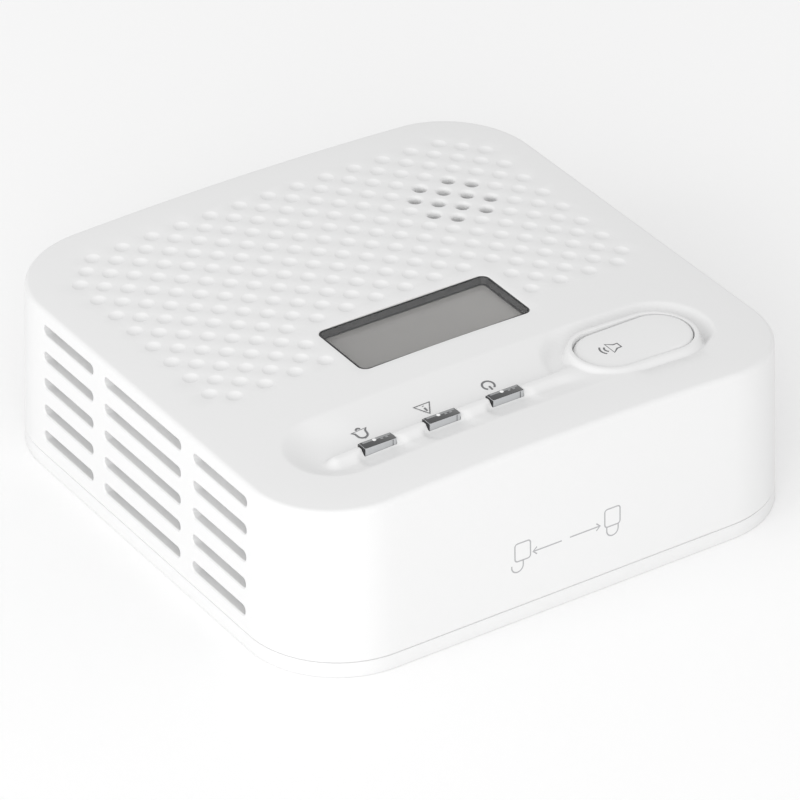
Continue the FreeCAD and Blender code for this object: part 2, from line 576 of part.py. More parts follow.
def screw(name, x, y, head_z, head_radius, head_height, shank_radius, length):
    """A pan-head screw driven upwards, with a cross recess in its head."""
    head = rod(f"{name}_head", x, y, head_z, head_radius, head_height)
    shank = rod(f"{name}_shank", x, y, f"({head_z}) + ({head_height}) - 0.1", shank_radius,
                f"({length}) + 0.1")
    bar = block(f"{name}_bar", x, y, f"({head_z}) - 1", f"1.2 * ({head_radius})", "Dims.recess_width",
                "Dims.recess_depth + 1")
    cross = block(f"{name}_cross", x, y, f"({head_z}) - 1", "Dims.recess_width", f"1.2 * ({head_radius})",
                  "Dims.recess_depth + 1")
    return cut(name, fuse(f"{name}_solid", head, shank), fuse(f"{name}_recess", bar, cross))


def screws():
    case = [screw(f"case_screw_{i}", x, y, "Dims.case_head_floor", "Dims.case_head_radius",
                  "Dims.case_head_height",
                  "Dims.case_shank", "Dims.case_shank_length")
            for i, (x, y) in enumerate(corners_of("Dims.case_screw", "Dims.case_screw"))]
    node(group("case_screw_set", *case), "case_screws")
    board = [screw(f"board_screw_{i}", x, y, "Dims.board_bottom - Dims.board_head_height",
                   "Dims.board_head_radius",
                   "Dims.board_head_height", "Dims.board_shank", "Dims.board_shank_length")
             for i, (x, y) in enumerate(board_screw_places())]
    node(group("board_screw_set", *board), "board_screws")


def test_button():
    """Pill cap with a retaining flange and a stem that stands over the switch."""
    top = face_height(value("Dims.button_x")) + value("Dims.button_rise - Dims.button_sink")
    body = new_body("test_button_body")
    pad(body, draw_pill(sketch_on(body, "cap_outline", "Dims.cap_floor"), "Dims.button_half",
                        "Dims.button_radius",
                        "Dims.button_x", "Dims.button_y"), f"{top} - Dims.cap_floor")
    pad(body, draw_pill(sketch_on(body, "flange_outline", "Dims.button_flange_floor"), "Dims.button_half",
                        "Dims.button_radius + Dims.button_flange_margin", "Dims.button_x", "Dims.button_y"),
        "Dims.button_flange_height")
    pad(body, draw_circle(sketch_on(body, "stem_outline", "Dims.stem_floor"), "Dims.stem_radius",
                          "Dims.button_x",
                          "Dims.button_y"), "Dims.stem_height")
    doc.recompute()
    rim = [f"Edge{i}" for i, edge in enumerate(body.Shape.Edges, start=1) if edge.CenterOfMass.z > top - 0.01]
    stem_and_cap = body.Tip
    round_over = body.newObject("PartDesign::Fillet", "cap_round")
    round_over.Base = (stem_and_cap, rim)
    round_over.Radius = value("Dims.cap_round")
    return node(body, "test_button")


def tact_switch():
    top = "Dims.board_bottom + Dims.board_thickness"
    case = block("switch_case", "Dims.button_x", "Dims.button_y", top, "Dims.switch_width",
                 "Dims.switch_width", "Dims.switch_height")
    throat = rod("switch_throat", "Dims.button_x", "Dims.button_y", f"{top} + Dims.switch_floor",
                 "Dims.switch_throat", "Dims.switch_height")
    node(cut("tact_switch_piece", case, throat), "tact_switch")
    node(rod("plunger_piece", "Dims.button_x", "Dims.button_y", f"{top} + Dims.plunger_foot",
             "Dims.plunger_radius", f"Dims.plunger_top - ({top}) - Dims.plunger_foot"), "switch_plunger")


# ---- display ----

def display():
    x, y = "Dims.window_x", "Dims.window_y"
    wall = "Dims.bezel_wall"
    top = "Dims.crest_height - Dims.lens_sink"
    lens_width = f"Dims.window_width - 2 * {wall} - 0.1"
    lens_depth = f"Dims.window_depth - 2 * {wall} - 0.1"
    lens = plate_body("lens_body", f"{top} - Dims.lens_thickness", "Dims.lens_thickness", lens_width,
                      lens_depth, f"Dims.window_corner - {wall} - 0.05", x, y)
    node(lens, "lcd_window")

    seat = f"{top} - Dims.lens_thickness"
    bezel = new_body("bezel_body")
    bottom = "Dims.glass_top + 0.05"
    flange_width = "Dims.window_width + 2 * Dims.bezel_flange"
    flange_depth = "Dims.window_depth + 2 * Dims.bezel_flange"
    pad(bezel, draw_rounded_rectangle(sketch_on(bezel, "bezel_flange", bottom), flange_width, flange_depth,
                                      "1.5", x, y), "Dims.bezel_flange_height")
    pad(bezel, draw_rounded_rectangle(sketch_on(bezel, "bezel_lip", bottom), "Dims.window_width - 0.04",
                                      "Dims.window_depth - 0.04", "Dims.window_corner - 0.02", x, y),
        f"{top} - ({bottom})")
    pocket(bezel, draw_rounded_rectangle(sketch_on(bezel, "bezel_sight", f"{bottom} - 1"),
                                         f"{lens_width} - 1", f"{lens_depth} - 1", "1", x, y), "Dims.through")
    pocket(bezel, draw_rounded_rectangle(sketch_on(bezel, "bezel_seat", seat),
                                         f"Dims.window_width - 2 * {wall}", f"Dims.window_depth - 2 * {wall}",
                                         f"Dims.window_corner - {wall}", x, y), "Dims.through")
    node(bezel, "lcd_bezel")

    glass = block("glass_piece", x, y, "Dims.glass_top - Dims.glass_thickness", "Dims.glass_width",
                  "Dims.glass_depth", "Dims.glass_thickness")
    node(glass, "lcd_glass")

    floor = "Dims.board_bottom + Dims.board_thickness"
    holder = new_body("lcd_frame_body")
    height = f"Dims.glass_top - 1.2 - ({floor})"
    pad(holder, draw_rounded_rectangle(sketch_on(holder, "frame_outline", floor), "Dims.glass_width + 3",
                                       "Dims.glass_depth + 3", "1.5", x, y), height)
    pocket(holder, draw_rounded_rectangle(sketch_on(holder, "frame_inside", f"{floor} - 1"),
                                          "Dims.glass_width - 4", "Dims.glass_depth - 4", "1", x, y),
                                          "2 * Dims.through")
    pocket(holder, draw_rounded_rectangle(sketch_on(holder, "frame_seat",
                                                    "Dims.glass_top - Dims.glass_thickness"),
                                          "Dims.glass_width + 0.2", "Dims.glass_depth + 0.2", "0.2", x, y),
           "Dims.through")
    node(holder, "lcd_frame")
    strip = block("zebra_piece", x, f"{y} - Dims.glass_depth / 2 + 4", floor, "38", "2.4",
                  f"Dims.glass_top - Dims.glass_thickness - ({floor})")
    node(strip, "zebra_strip")


# ---- indicators ----

def indicators():
    """A clear light pipe through the ridge and a round LED under it, three times."""
    board = "Dims.board_bottom + Dims.board_thickness"
    for index, use in enumerate(("power", "fault", "alarm")):
        x = f"Dims.pipe_last_x + {index} * Dims.pipe_pitch"
        top = face_height(value(x)) + value("Dims.pipe_proud - Dims.ridge_drop")
        head = block(f"pipe_{use}_head", x, "Dims.ridge_y", "Dims.pipe_foot", "Dims.pipe_length",
                     "Dims.pipe_width", f"{top} - Dims.pipe_foot")
        foot = block(f"pipe_{use}_foot", x, "Dims.ridge_y", "Dims.pipe_flange_floor",
                     "Dims.pipe_length + Dims.pipe_flange_length", "Dims.pipe_width + Dims.pipe_flange_width",
                     "Dims.pipe_flange_height")
        node(fuse(f"pipe_{use}", head, foot), f"light_pipe_{use}")
        collar = rod(f"led_{use}_collar", x, "Dims.ridge_y", board, "Dims.led_collar",
                     "Dims.led_collar_height")
        lamp = rod(f"led_{use}_lamp", x, "Dims.ridge_y", board, "Dims.led_radius", "Dims.led_height")
        dome = bind(doc.addObject("Part::Sphere", f"led_{use}_dome"), Radius="Dims.led_radius")
        put(dome, x, "Dims.ridge_y", f"{board} + Dims.led_height")
        node(fuse(f"led_{use}_piece", collar, lamp, dome), f"led_{use}")


# ---- board and what stands on it ----

def circuit_board():
    body = new_body("board_body")
    depth = "(Dims.board_top_y - Dims.board_foot_y)"
    middle = "(Dims.board_top_y + Dims.board_foot_y) / 2"
    pad(body, draw_rounded_rectangle(sketch_on(body, "board_outline", "Dims.board_bottom"),
                                     "Dims.board_width",
                                     depth, "Dims.board_corner", "0", middle), "Dims.board_thickness")
    holes = sketch_on(body, "board_holes", "Dims.board_bottom - 1")
    for x, y in board_screw_places():
        draw_circle(holes, "Dims.board_hole", x, y)
    pocket(body, holes, "Dims.through")
    return node(body, "circuit_board")


def board_parts():
    board = "Dims.board_bottom + Dims.board_thickness"
    can = rod("sensor_can", "Dims.sensor_x", "Dims.sensor_y", f"{board} + Dims.sensor_lift",
              "Dims.sensor_radius", "Dims.sensor_height")
    feet = [rod(f"sensor_pin_{i}", f"Dims.sensor_x + Dims.sensor_pin_circle * {math.cos(turn):.3f}",
                f"Dims.sensor_y + Dims.sensor_pin_circle * {math.sin(turn):.3f}", board, "Dims.sensor_pin",
                "Dims.sensor_lift + 0.1")
            for i, turn in enumerate((0.5, 2.6, 4.7))]
    node(fuse("sensor_piece", can, *feet), "co_sensor")
    lid = rod("sensor_lid", "Dims.sensor_x", "Dims.sensor_y",
              f"{board} + Dims.sensor_lift + Dims.sensor_height",
              "Dims.sensor_radius - Dims.sensor_cap_step", "Dims.sensor_cap_height")
    mouth = rod("sensor_mouth", "Dims.sensor_x", "Dims.sensor_y", 
                f"{board} + Dims.sensor_lift + Dims.sensor_height + Dims.sensor_mouth_floor",
                "Dims.sensor_mouth",
                "Dims.sensor_cap_height")
    node(cut("sensor_cap_piece", lid, mouth), "co_sensor_cap")
    node(block("controller_piece", "Dims.chip_x", "Dims.chip_y", board, "Dims.chip_width", "Dims.chip_width",
               "Dims.chip_height"), "microcontroller")
    core = rod("coil_core", "Dims.coil_x", "Dims.coil_y", board, "Dims.coil_radius", "Dims.coil_height")
    waist = cut("coil_waist", rod("coil_ring", "Dims.coil_x", "Dims.coil_y",
                                  f"{board} + Dims.coil_waist_floor",
                                  "Dims.coil_radius + 1", "Dims.coil_waist_height"),
                rod("coil_waist_core", "Dims.coil_x", "Dims.coil_y", board, "Dims.coil_waist",
                    "Dims.coil_height"))
    node(cut("coil_piece", core, waist), "booster_coil")
    node(rod("capacitor_piece", "Dims.capacitor_x", "Dims.capacitor_y", board, "Dims.capacitor_radius",
             "Dims.capacitor_height"), "capacitor")


def horn():
    """Cup that clamps the piezo disc and faces the holes in the casing."""
    x, y = "Dims.horn_x", "Dims.horn_y"
    floor = "Dims.board_bottom + Dims.board_thickness + Dims.horn_lift"
    shell = rod("horn_shell", x, y, floor, "Dims.horn_radius", f"Dims.horn_top - ({floor})")
    throat = rod("horn_throat", x, y, floor, "Dims.horn_throat", "Dims.cutter_height")
    front = rod("horn_front_room", x, y, "Dims.horn_front_floor", "Dims.piezo_radius - 1",
                "Dims.horn_front_height")
    back = rod("horn_back_room", x, y, f"{floor} + Dims.horn_floor",
               "Dims.piezo_radius + Dims.horn_room_play",
               f"Dims.horn_front_floor - ({floor}) - Dims.horn_floor")
    mouth = rod("horn_wire_way", x, y, f"{floor} - 1", "Dims.piezo_radius - 2", "Dims.horn_floor + 2")
    node(cut("horn_piece", shell, fuse("horn_rooms", throat, front, back, mouth)), "horn_housing")
    plate = rod("piezo_plate", x, y, "Dims.piezo_floor", "Dims.piezo_radius", "Dims.piezo_thickness")
    ceramic = rod("piezo_ceramic", x, y, "Dims.ceramic_floor", "Dims.ceramic_radius", "Dims.piezo_thickness")
    node(fuse("piezo_piece", plate, ceramic), "piezo_disc")
    node(rod("mesh_piece", x, y, "Dims.horn_top + Dims.mesh_lift", "Dims.mesh_radius",
             "Dims.mesh_thickness"), "dust_mesh")


def wire(points, radius):
    """A tube along straight runs that are joined by arcs, each as large as its runs allow."""
    places = [FreeCAD.Vector(*p) for p in points]
    edges = []
    start = places[0]
    for before, corner, after in zip(places, places[1:], places[2:]):
        come, leave = corner - before, after - corner
        turn = come.getAngle(leave)
        back = 0.45 * min(come.Length, leave.Length)
        first = corner - come.normalize() * back
        last = corner + leave.normalize() * back
        bend = back / math.tan(turn / 2)
        inward = (last - first) * 0.5 + first - corner
        distance = math.hypot(back, bend)
        middle = corner + inward.normalize() * (distance - bend)
        edges.append(Part.LineSegment(start, first).toShape())
        edges.append(Part.Arc(first, middle, last).toShape())
        start = last
    edges.append(Part.LineSegment(start, places[-1]).toShape())
    path = Part.Wire(edges)
    heading = places[1] - places[0]
    ring = Part.Wire([Part.Circle(places[0], heading, radius).toShape()])
    tube = path.makePipeShell([ring], True, False)
    expected = math.pi * radius * radius * path.Length
    if abs(tube.Volume - expected) > 0.02 * expected:
        raise RuntimeError("a lead has the wrong volume")
    return tube


def leads():
    """Two battery leads beside the box and two short leads under the piezo disc."""
    board = value("Dims.board_bottom")
    side = value("Dims.box_half") + 0.05
    pair = [wire([(side, y, 14), (side + 3.6, y, 14), (side + 4.4, y + 2, 17), (side + 4.4, y + 2, board)],
                 value("Dims.battery_lead_radius")) for y in (-33, -28)]
    node(fixed_shape("battery_lead_pair", Part.makeCompound(pair)), "battery_leads")
    top = value("Dims.board_bottom + Dims.board_thickness")
    x, y = value("Dims.horn_x"), value("Dims.horn_y")
    foot = value("Dims.ceramic_floor")
    pair = [wire([(x + step, y, foot), (x + step, y, 27.5), (x + 1.4 * step, y + 2, 26),
                  (x + 1.4 * step, y + 2, top)], value("Dims.piezo_lead_radius")) for step in (-5, 5)]
    node(fixed_shape("piezo_lead_pair", Part.makeCompound(pair)), "piezo_leads")


# ---- batteries ----

def batteries():
    """Three AA cells, nose to tail, between flat contacts and bowed leaf springs."""
    low = value("Dims.box_foot + Dims.box_wall")
    high = value("Dims.box_head - Dims.box_wall")
    thick = value("Dims.contact_thickness")
    length = value("Dims.cell_length + Dims.nub_length")
    room = high - low - 2 * thick - length
    height = value("Dims.cell_height")
    plate, leaf = value("Dims.contact_width"), value("Dims.leaf_width")
    plates, leaves = [], []
    for index in range(3):
        x = f"{index - 1} * Dims.cell_pitch"
        nose_up = index % 2 == 0
        nose = high - thick if nose_up else low + thick
        tail = nose - length if nose_up else nose + length
        can_y = tail if nose_up else tail - value("Dims.cell_length")
        nub_y = nose - value("Dims.nub_length") - 1 if nose_up else nose
        can = rod(f"cell_{index}_can", x, f"{can_y}", "Dims.cell_height", "Dims.cell_radius",
                  "Dims.cell_length",
                  TURN_TO_Y)
        nub = rod(f"cell_{index}_nub", x, f"{nub_y}", "Dims.cell_height", "Dims.nub_radius",
                  "Dims.nub_length + 1", TURN_TO_Y)
        node(fuse(f"cell_{index}", can, nub), f"aa_cell_{index + 1}")
        centre = value(x)
        for y in (low, high - thick):
            corner = FreeCAD.Vector(centre - plate / 2, y, height - plate / 2)
            plates.append(Part.makeBox(plate, thick, plate, corner))
        root = low + thick if nose_up else high - thick
        along = FreeCAD.Vector(1, 0, 0)
        start = FreeCAD.Vector(centre - leaf / 2, root, height)
        outer = room - value("Dims.leaf_play")
        bow = Part.makeCylinder(outer, leaf, start, along)
        bow = bow.cut(Part.makeCylinder(outer - value("Dims.leaf_thickness"), leaf, start, along))
        half_y = root if nose_up else root - 10
        leaves.append(bow.common(Part.makeBox(8, 10, 20, FreeCAD.Vector(centre - 4, half_y, height - 10))))
    node(fixed_shape("contact_plates", Part.makeCompound(plates)), "battery_contacts")
    node(fixed_shape("leaf_springs", Part.makeCompound(leaves)), "battery_springs")


def side_baffles():
    """Inner walls that stand behind the side slots."""
    for name, side in (("left", -1), ("right", 1)):
        x = f"{side} * (Dims.base_width / 2 - Dims.baffle_inset)"
        node(block(f"baffle_{name}", x, "0", "Dims.rear_bottom + Dims.rear_panel + 0.1",
                   "Dims.baffle_thickness",
                   "2 * Dims.baffle_half", "Dims.baffle_height"), f"side_baffle_{name}")


def build():
    mounting_plate()
    front_casing()
    rear_casing()
    battery_door()
    screws()
    test_button()
    tact_switch()
    display()
    indicators()
    circuit_board()
    board_parts()
    horn()
    leads()
    batteries()
    side_baffles()
    doc.recompute()


def export():
    """Refuses any failed feature or open piece, then writes one STEP file for each node."""
    for thing in doc.Objects:
        if "Invalid" in thing.State or "Error" in thing.State:
            raise RuntimeError(f"{thing.Name} failed: {thing.State}")
    for label, thing in NODES.items():
        if thing.Shape.isNull() or not thing.Shape.isValid() or not thing.Shape.Solids:
            raise RuntimeError(f"{label} is not a valid solid")
    os.makedirs("parts", exist_ok=True)
    for label, thing in NODES.items():
        thing.Shape.exportStep(f"parts/{label}.step")
        print(f"{label}: {len(thing.Shape.Solids)} solid(s), {thing.Shape.Volume:.1f} mm3")


build()
export()
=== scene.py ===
"""Carbon monoxide detector: the visible pieces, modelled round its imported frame."""
import json
import math

import bmesh
import bpy
from bpy.props import FloatProperty, FloatVectorProperty, PointerProperty
from bpy.types import Operator, Panel, PropertyGroup
from mathutils import Matrix, Vector, geometry, kdtree

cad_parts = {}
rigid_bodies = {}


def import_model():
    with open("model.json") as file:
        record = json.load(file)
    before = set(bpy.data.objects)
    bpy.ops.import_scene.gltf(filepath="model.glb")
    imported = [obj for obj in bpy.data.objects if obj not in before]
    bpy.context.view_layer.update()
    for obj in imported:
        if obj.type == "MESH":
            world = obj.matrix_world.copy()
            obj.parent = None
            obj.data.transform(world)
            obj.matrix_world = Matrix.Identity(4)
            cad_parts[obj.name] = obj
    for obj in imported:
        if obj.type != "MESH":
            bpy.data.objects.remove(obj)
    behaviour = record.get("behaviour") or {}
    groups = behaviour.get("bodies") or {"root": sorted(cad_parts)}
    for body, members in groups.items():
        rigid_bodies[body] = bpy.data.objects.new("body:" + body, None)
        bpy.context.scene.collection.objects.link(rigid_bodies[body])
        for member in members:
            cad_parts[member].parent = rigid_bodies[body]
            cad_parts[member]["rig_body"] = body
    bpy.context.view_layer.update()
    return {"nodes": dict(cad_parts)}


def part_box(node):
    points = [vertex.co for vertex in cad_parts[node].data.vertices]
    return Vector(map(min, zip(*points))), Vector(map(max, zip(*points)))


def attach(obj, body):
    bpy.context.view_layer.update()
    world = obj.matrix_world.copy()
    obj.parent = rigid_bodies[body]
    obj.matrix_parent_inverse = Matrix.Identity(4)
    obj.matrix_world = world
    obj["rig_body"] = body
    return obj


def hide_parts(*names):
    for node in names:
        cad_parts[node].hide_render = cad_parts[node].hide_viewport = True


bl_info = {
    "name": "Carbon Monoxide Detector",
    "version": (1, 0, 0),
    "blender": (4, 5, 0),
    "location": "View3D > Sidebar > Detector",
    "description": "Models and finishes a wall-hung carbon monoxide detector round its frame",
    "category": "Add Mesh",
}

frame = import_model()

MM = 0.001
SHARP = math.radians(35.0)
QUARTER = math.pi / 2


# ---- sizes and colours that a user would change ----

def length(name, description, millimetres):
    return FloatProperty(name=name, description=description, default=millimetres * MM, unit="LENGTH",
                         precision=5)


def share(name, description, value):
    return FloatProperty(name=name, description=description, default=value, min=0.0, max=1.0,
                         subtype="FACTOR")


def colour(name, description, red, green, blue):
    return FloatVectorProperty(name=name, description=description, default=(red, green, blue), size=3,
                               min=0.0, max=1.0, subtype="COLOR")


class CasingSettings(PropertyGroup):
    half_width: length("Half width", "From the middle to a side, at the back", 60.0)
    corner: length("Corner", "Radius of the upright corners, at the back", 20.3)
    draft: FloatProperty(name="Draft", description="How far the sides lean in", subtype="ANGLE",
                         default=math.radians(1.88))
    skirt: length("Skirt", "Height of the casing's lower edge", 3.36)
    crest: length("Crest", "Height of the face at its middle", 38.4)
    crown_radius: length("Crown radius", "Radius of the face's gentle crown across its width", 863.0)
    rim_round: length("Rim round", "Radius where the sides turn into the face", 1.1)
    wall: length("Wall", "Thickness of the moulding", 2.2)
    lip: length("Lip", "Rounding at the edge of each opening", 0.25)
    dimple_pitch: length("Dimple pitch", "Spacing of the dimples along a row", 6.94)
    dimple_radius: length("Dimple radius", "Radius of one dimple", 1.6)
    dimple_depth: length("Dimple depth", "Depth of one dimple", 0.62)
    field_middle: length("Field middle", "Where the dimpled field is centred across the face", -0.45)
    field_bottom: length("Field bottom", "Lowest row of the dimpled field", -48.0)
    hole_radius: length("Horn hole radius", "Radius of the holes over the horn", 1.3)
    dish_depth: length("Dish depth", "Depth of the dish round the indicators", 2.0)
    dish_half: length("Dish half", "Half of the dish's straight part", 37.9)
    dish_radius: length("Dish radius", "Radius of the dish's round ends", 10.4)
    dish_middle: length("Dish middle", "Height up the face of the dish's middle line", 36.8)
    ridge_tip: length("Ridge tip", "Where the ridge of the indicators ends", 40.1)
    ridge_drop: length("Ridge drop", "How far the ridge lies under the face", 0.3)
    ring_rise: length("Ring rise", "How far the ring round the button stands over the face", 0.5)
    foot_groove: length("Foot groove", "Depth of the fine groove along the ring's foot", 0.45)
    well_radius: length("Well radius", "Radius of the button's opening", 7.25)
    well_half: length("Well half", "Half of the straight part of the button's opening", 5.8)
    slot_pitch: length("Slot pitch", "Spacing of the side slots", 6.1)
    slot_first: length("First slot", "Height of the lowest side slot", 8.0)
    slot_height: length("Slot height", "Height of one side slot", 2.3)


class FinishSettings(PropertyGroup):
    plastic: colour("Plastic", "Colour of the casing's plastic", 0.80, 0.80, 0.80)
    plastic_roughness: share("Plastic roughness", "How matt the casing is", 0.42)
    display: colour("Display", "Colour of the unlit display", 0.262, 0.255, 0.244)
    ink: colour("Ink", "Colour of the printed signs", 0.17, 0.17, 0.175)
    pale_ink: colour("Pale ink", "Colour of the signs on the upper side", 0.42, 0.42, 0.43)
    smoke: colour("Smoke", "Colour of the indicators' smoky plastic", 0.032, 0.033, 0.035)
    grain: FloatProperty(name="Grain", description="Size of the moulded grain, in grains per metre",
                         default=2600.0, min=1.0)


class StageSettings(PropertyGroup):
    floor: colour("Floor", "Colour of the pale floor", 0.98, 0.98, 0.98)
    ambient: FloatProperty(name="Ambient", description="Strength of the even studio light",
                           default=0.84, min=0.0)
    key: FloatProperty(name="Key", description="Power of the large light by the camera",
                       default=5.0, min=0.0, unit="POWER")
    side: FloatProperty(name="Side", description="Power of the light on the slotted side",
                        default=2.7, min=0.0, unit="POWER")
    azimuth: FloatProperty(name="Azimuth", description="Camera direction from +X", subtype="ANGLE",
                           default=math.radians(56.646))
    elevation: FloatProperty(name="Elevation", description="Camera height over the floor", subtype="ANGLE",
                             default=math.radians(32.379))
    roll: FloatProperty(name="Roll", description="Camera roll", subtype="ANGLE", default=math.radians(-0.18))
    distance: length("Distance", "From the camera to its aim", 1140.1)
    lens: FloatProperty(name="Lens", description="Focal length in millimetres", default=259.04)


class DetectorSettings(PropertyGroup):
    casing: PointerProperty(type=CasingSettings)
    finish: PointerProperty(type=FinishSettings)
    stage: PointerProperty(type=StageSettings)


# ---- small tools ----

def smooth(value):
    value = min(max(value, 0.0), 1.0)
    return value * value * (3.0 - 2.0 * value)


def box_mm(node):
    low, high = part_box(node)
    return low / MM, high / MM


def centre_mm(node):
    low, high = box_mm(node)
    return (low + high) / 2


def only(piece):
    """Selects one object and makes it the active one."""
    bpy.ops.object.select_all(action="DESELECT")
    piece.select_set(True)
    bpy.context.view_layer.objects.active = piece
    return piece


def settle(piece):
    """Moves an object's place, turn and size into its mesh."""
    only(piece)
    bpy.ops.object.transform_apply(location=True, rotation=True, scale=True)
    return piece


def named(name):
    piece = bpy.context.active_object
    piece.name = name
    piece.data.name = name
    return piece


def pick(piece, kind, test):
    """In edit mode, selects only the vertices, edges or faces that pass a test."""
    bpy.ops.mesh.select_mode(type=kind)
    bpy.ops.mesh.select_all(action="DESELECT")
    mesh = bmesh.from_edit_mesh(piece.data)
    for part in {"VERT": mesh.verts, "EDGE": mesh.edges, "FACE": mesh.faces}[kind]:
        part.select_set(test(part))
    mesh.select_flush_mode()
    bmesh.update_edit_mesh(piece.data)


def modify(piece, kind, **values):
    """Adds a modifier to a piece and applies it."""
    only(piece)
    modifier = piece.modifiers.new(kind.title(), kind)
    for name, value in values.items():
        setattr(modifier, name, value)
    bpy.ops.object.modifier_apply(modifier=modifier.name)
    return piece


def shade(piece):
    only(piece)
    bpy.ops.object.shade_smooth_by_angle(angle=SHARP)
    return piece


def soften(piece, width, segments=2):
    """Rounds every sharp edge a little."""
    modify(piece, "BEVEL", width=width * MM, segments=segments, limit_method="ANGLE", angle_limit=SHARP,
           use_clamp_overlap=True)
    return shade(piece)


def merge(*pieces):
    """Joins pieces into the first one."""
    only(pieces[0])
    for piece in pieces[1:]:
        piece.select_set(True)
    bpy.ops.object.join()
    return pieces[0]


def tablet(name, low, high, corner=0.0, segments=8):
    """A block from one corner to the other, its upright edges rounded."""
    low, high = Vector(low) * MM, Vector(high) * MM
    bpy.ops.object.select_all(action="DESELECT")
    bpy.ops.mesh.primitive_cube_add(size=1.0, location=(low + high) / 2)
    piece = named(name)
    piece.scale = high - low
    settle(piece)
    if corner:
        bpy.ops.object.mode_set(mode="EDIT")
        half_height = (high.z - low.z) / 2
        pick(piece, "EDGE", lambda edge: abs(edge.verts[0].co.z - edge.verts[1].co.z) > half_height)
        bpy.ops.mesh.bevel(offset=corner * MM, segments=segments, affect="EDGES", clamp_overlap=True)
        bpy.ops.mesh.select_all(action="SELECT")
        bpy.ops.mesh.remove_doubles(threshold=0.004 * MM)
        bpy.ops.object.mode_set(mode="OBJECT")
    return piece


def turned(name, x, y, rings, segments=48):
    """A round piece: a disc that is drawn upwards ring by ring, each a radius and a height."""
    radius, height = rings[0]
    bpy.ops.object.select_all(action="DESELECT")
    bpy.ops.mesh.primitive_circle_add(vertices=segments, radius=radius * MM, fill_type="NGON",
                                      location=(x * MM, y * MM, height * MM))
    piece = settle(named(name))
    bpy.ops.object.mode_set(mode="EDIT")
    bpy.ops.mesh.select_all(action="SELECT")
    for next_radius, next_height in rings[1:]:
        rise = (next_height - height) * MM
        bpy.ops.mesh.extrude_region_move(TRANSFORM_OT_translate={"value": (0, 0, rise)})
        grow = next_radius / radius
        bpy.ops.transform.resize(value=(grow, grow, 1.0))
        radius, height = next_radius, next_height
    bpy.ops.mesh.select_all(action="SELECT")
    bpy.ops.mesh.normals_make_consistent(inside=False)
    bpy.ops.object.mode_set(mode="OBJECT")
    return piece


def turn_piece(piece, angle, axis, pivot=(0.0, 0.0, 0.0)):
    """Turns a finished mesh about an axis through a point in millimetres."""
    pivot = Vector(pivot) * MM
    turn = Matrix.Translation(pivot) @ Matrix.Rotation(angle, 4, axis) @ Matrix.Translation(-pivot)
    piece.data.transform(turn)


def moulded_copy(node, name, edge=0.0):
    """A merged, smooth copy of a frame part with its sharp edges softened."""
    source = frame["nodes"][node]
    piece = bpy.data.objects.new(name, source.data.copy())
    piece.data.name = name
    bpy.context.scene.collection.objects.link(piece)
    only(piece)
    bpy.ops.mesh.customdata_custom_splitnormals_clear()
    bpy.ops.object.mode_set(mode="EDIT")
    bpy.ops.mesh.select_all(action="SELECT")
    bpy.ops.mesh.remove_doubles(threshold=0.002 * MM)
    bpy.ops.mesh.dissolve_limited(angle_limit=math.radians(0.5))
    bpy.ops.object.mode_set(mode="OBJECT")
    if edge:
        soften(piece, edge)
    shade(piece)
    return stand_for(piece, node)


def stand_for(piece, node):
    """The piece takes the place and the body of its frame part."""
    source = frame["nodes"][node]
    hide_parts(node)
    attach(piece, source["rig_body"])
    return piece


def belongs(piece, node):
    """A detail that goes with a frame part without hiding it."""
    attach(piece, frame["nodes"][node]["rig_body"])
    return piece


# ---- outlines and nets for the casing's skin ----

def rounded(x, y, half_x, half_y, corner, grow=0.0, arc=8, pitch=1.0):
    """Counter-clockwise outline of a rounded rectangle, with as many points however it is grown."""
    outline = []
    for quarter in range(4):
        turn = quarter * QUARTER
        middle_x = x + (half_x - corner) * (1 if quarter in (0, 3) else -1)
        middle_y = y + (half_y - corner) * (1 if quarter < 2 else -1)
        straight = 2 * ((half_x if quarter % 2 == 0 else half_y) - corner)
        for step in range(arc + 1 if straight > 1e-6 else arc):
            angle = turn + QUARTER * step / arc
            outline.append((middle_x + (corner + grow) * math.cos(angle),
                            middle_y + (corner + grow) * math.sin(angle)))
        if straight > 1e-6:
            count = max(1, round(straight / pitch))
            last_x, last_y = outline[-1]
            for step in range(1, count):
                go = straight * step / count
                outline.append((last_x + go * math.cos(turn + math.pi),
                                last_y + go * math.sin(turn + math.pi)))
    return outline


def off_line(x, y, middle_x, middle_y, half):
    """Distance from a level line."""
    return math.hypot(max(abs(x - middle_x) - half, 0.0), y - middle_y)


def outside_box(x, y, middle_x, middle_y, half_x, half_y):
    """Distance from a rectangle, negative within it."""
    over_x, over_y = abs(x - middle_x) - half_x, abs(y - middle_y) - half_y
    return math.hypot(max(over_x, 0.0), max(over_y, 0.0)) + min(max(over_x, over_y), 0.0)


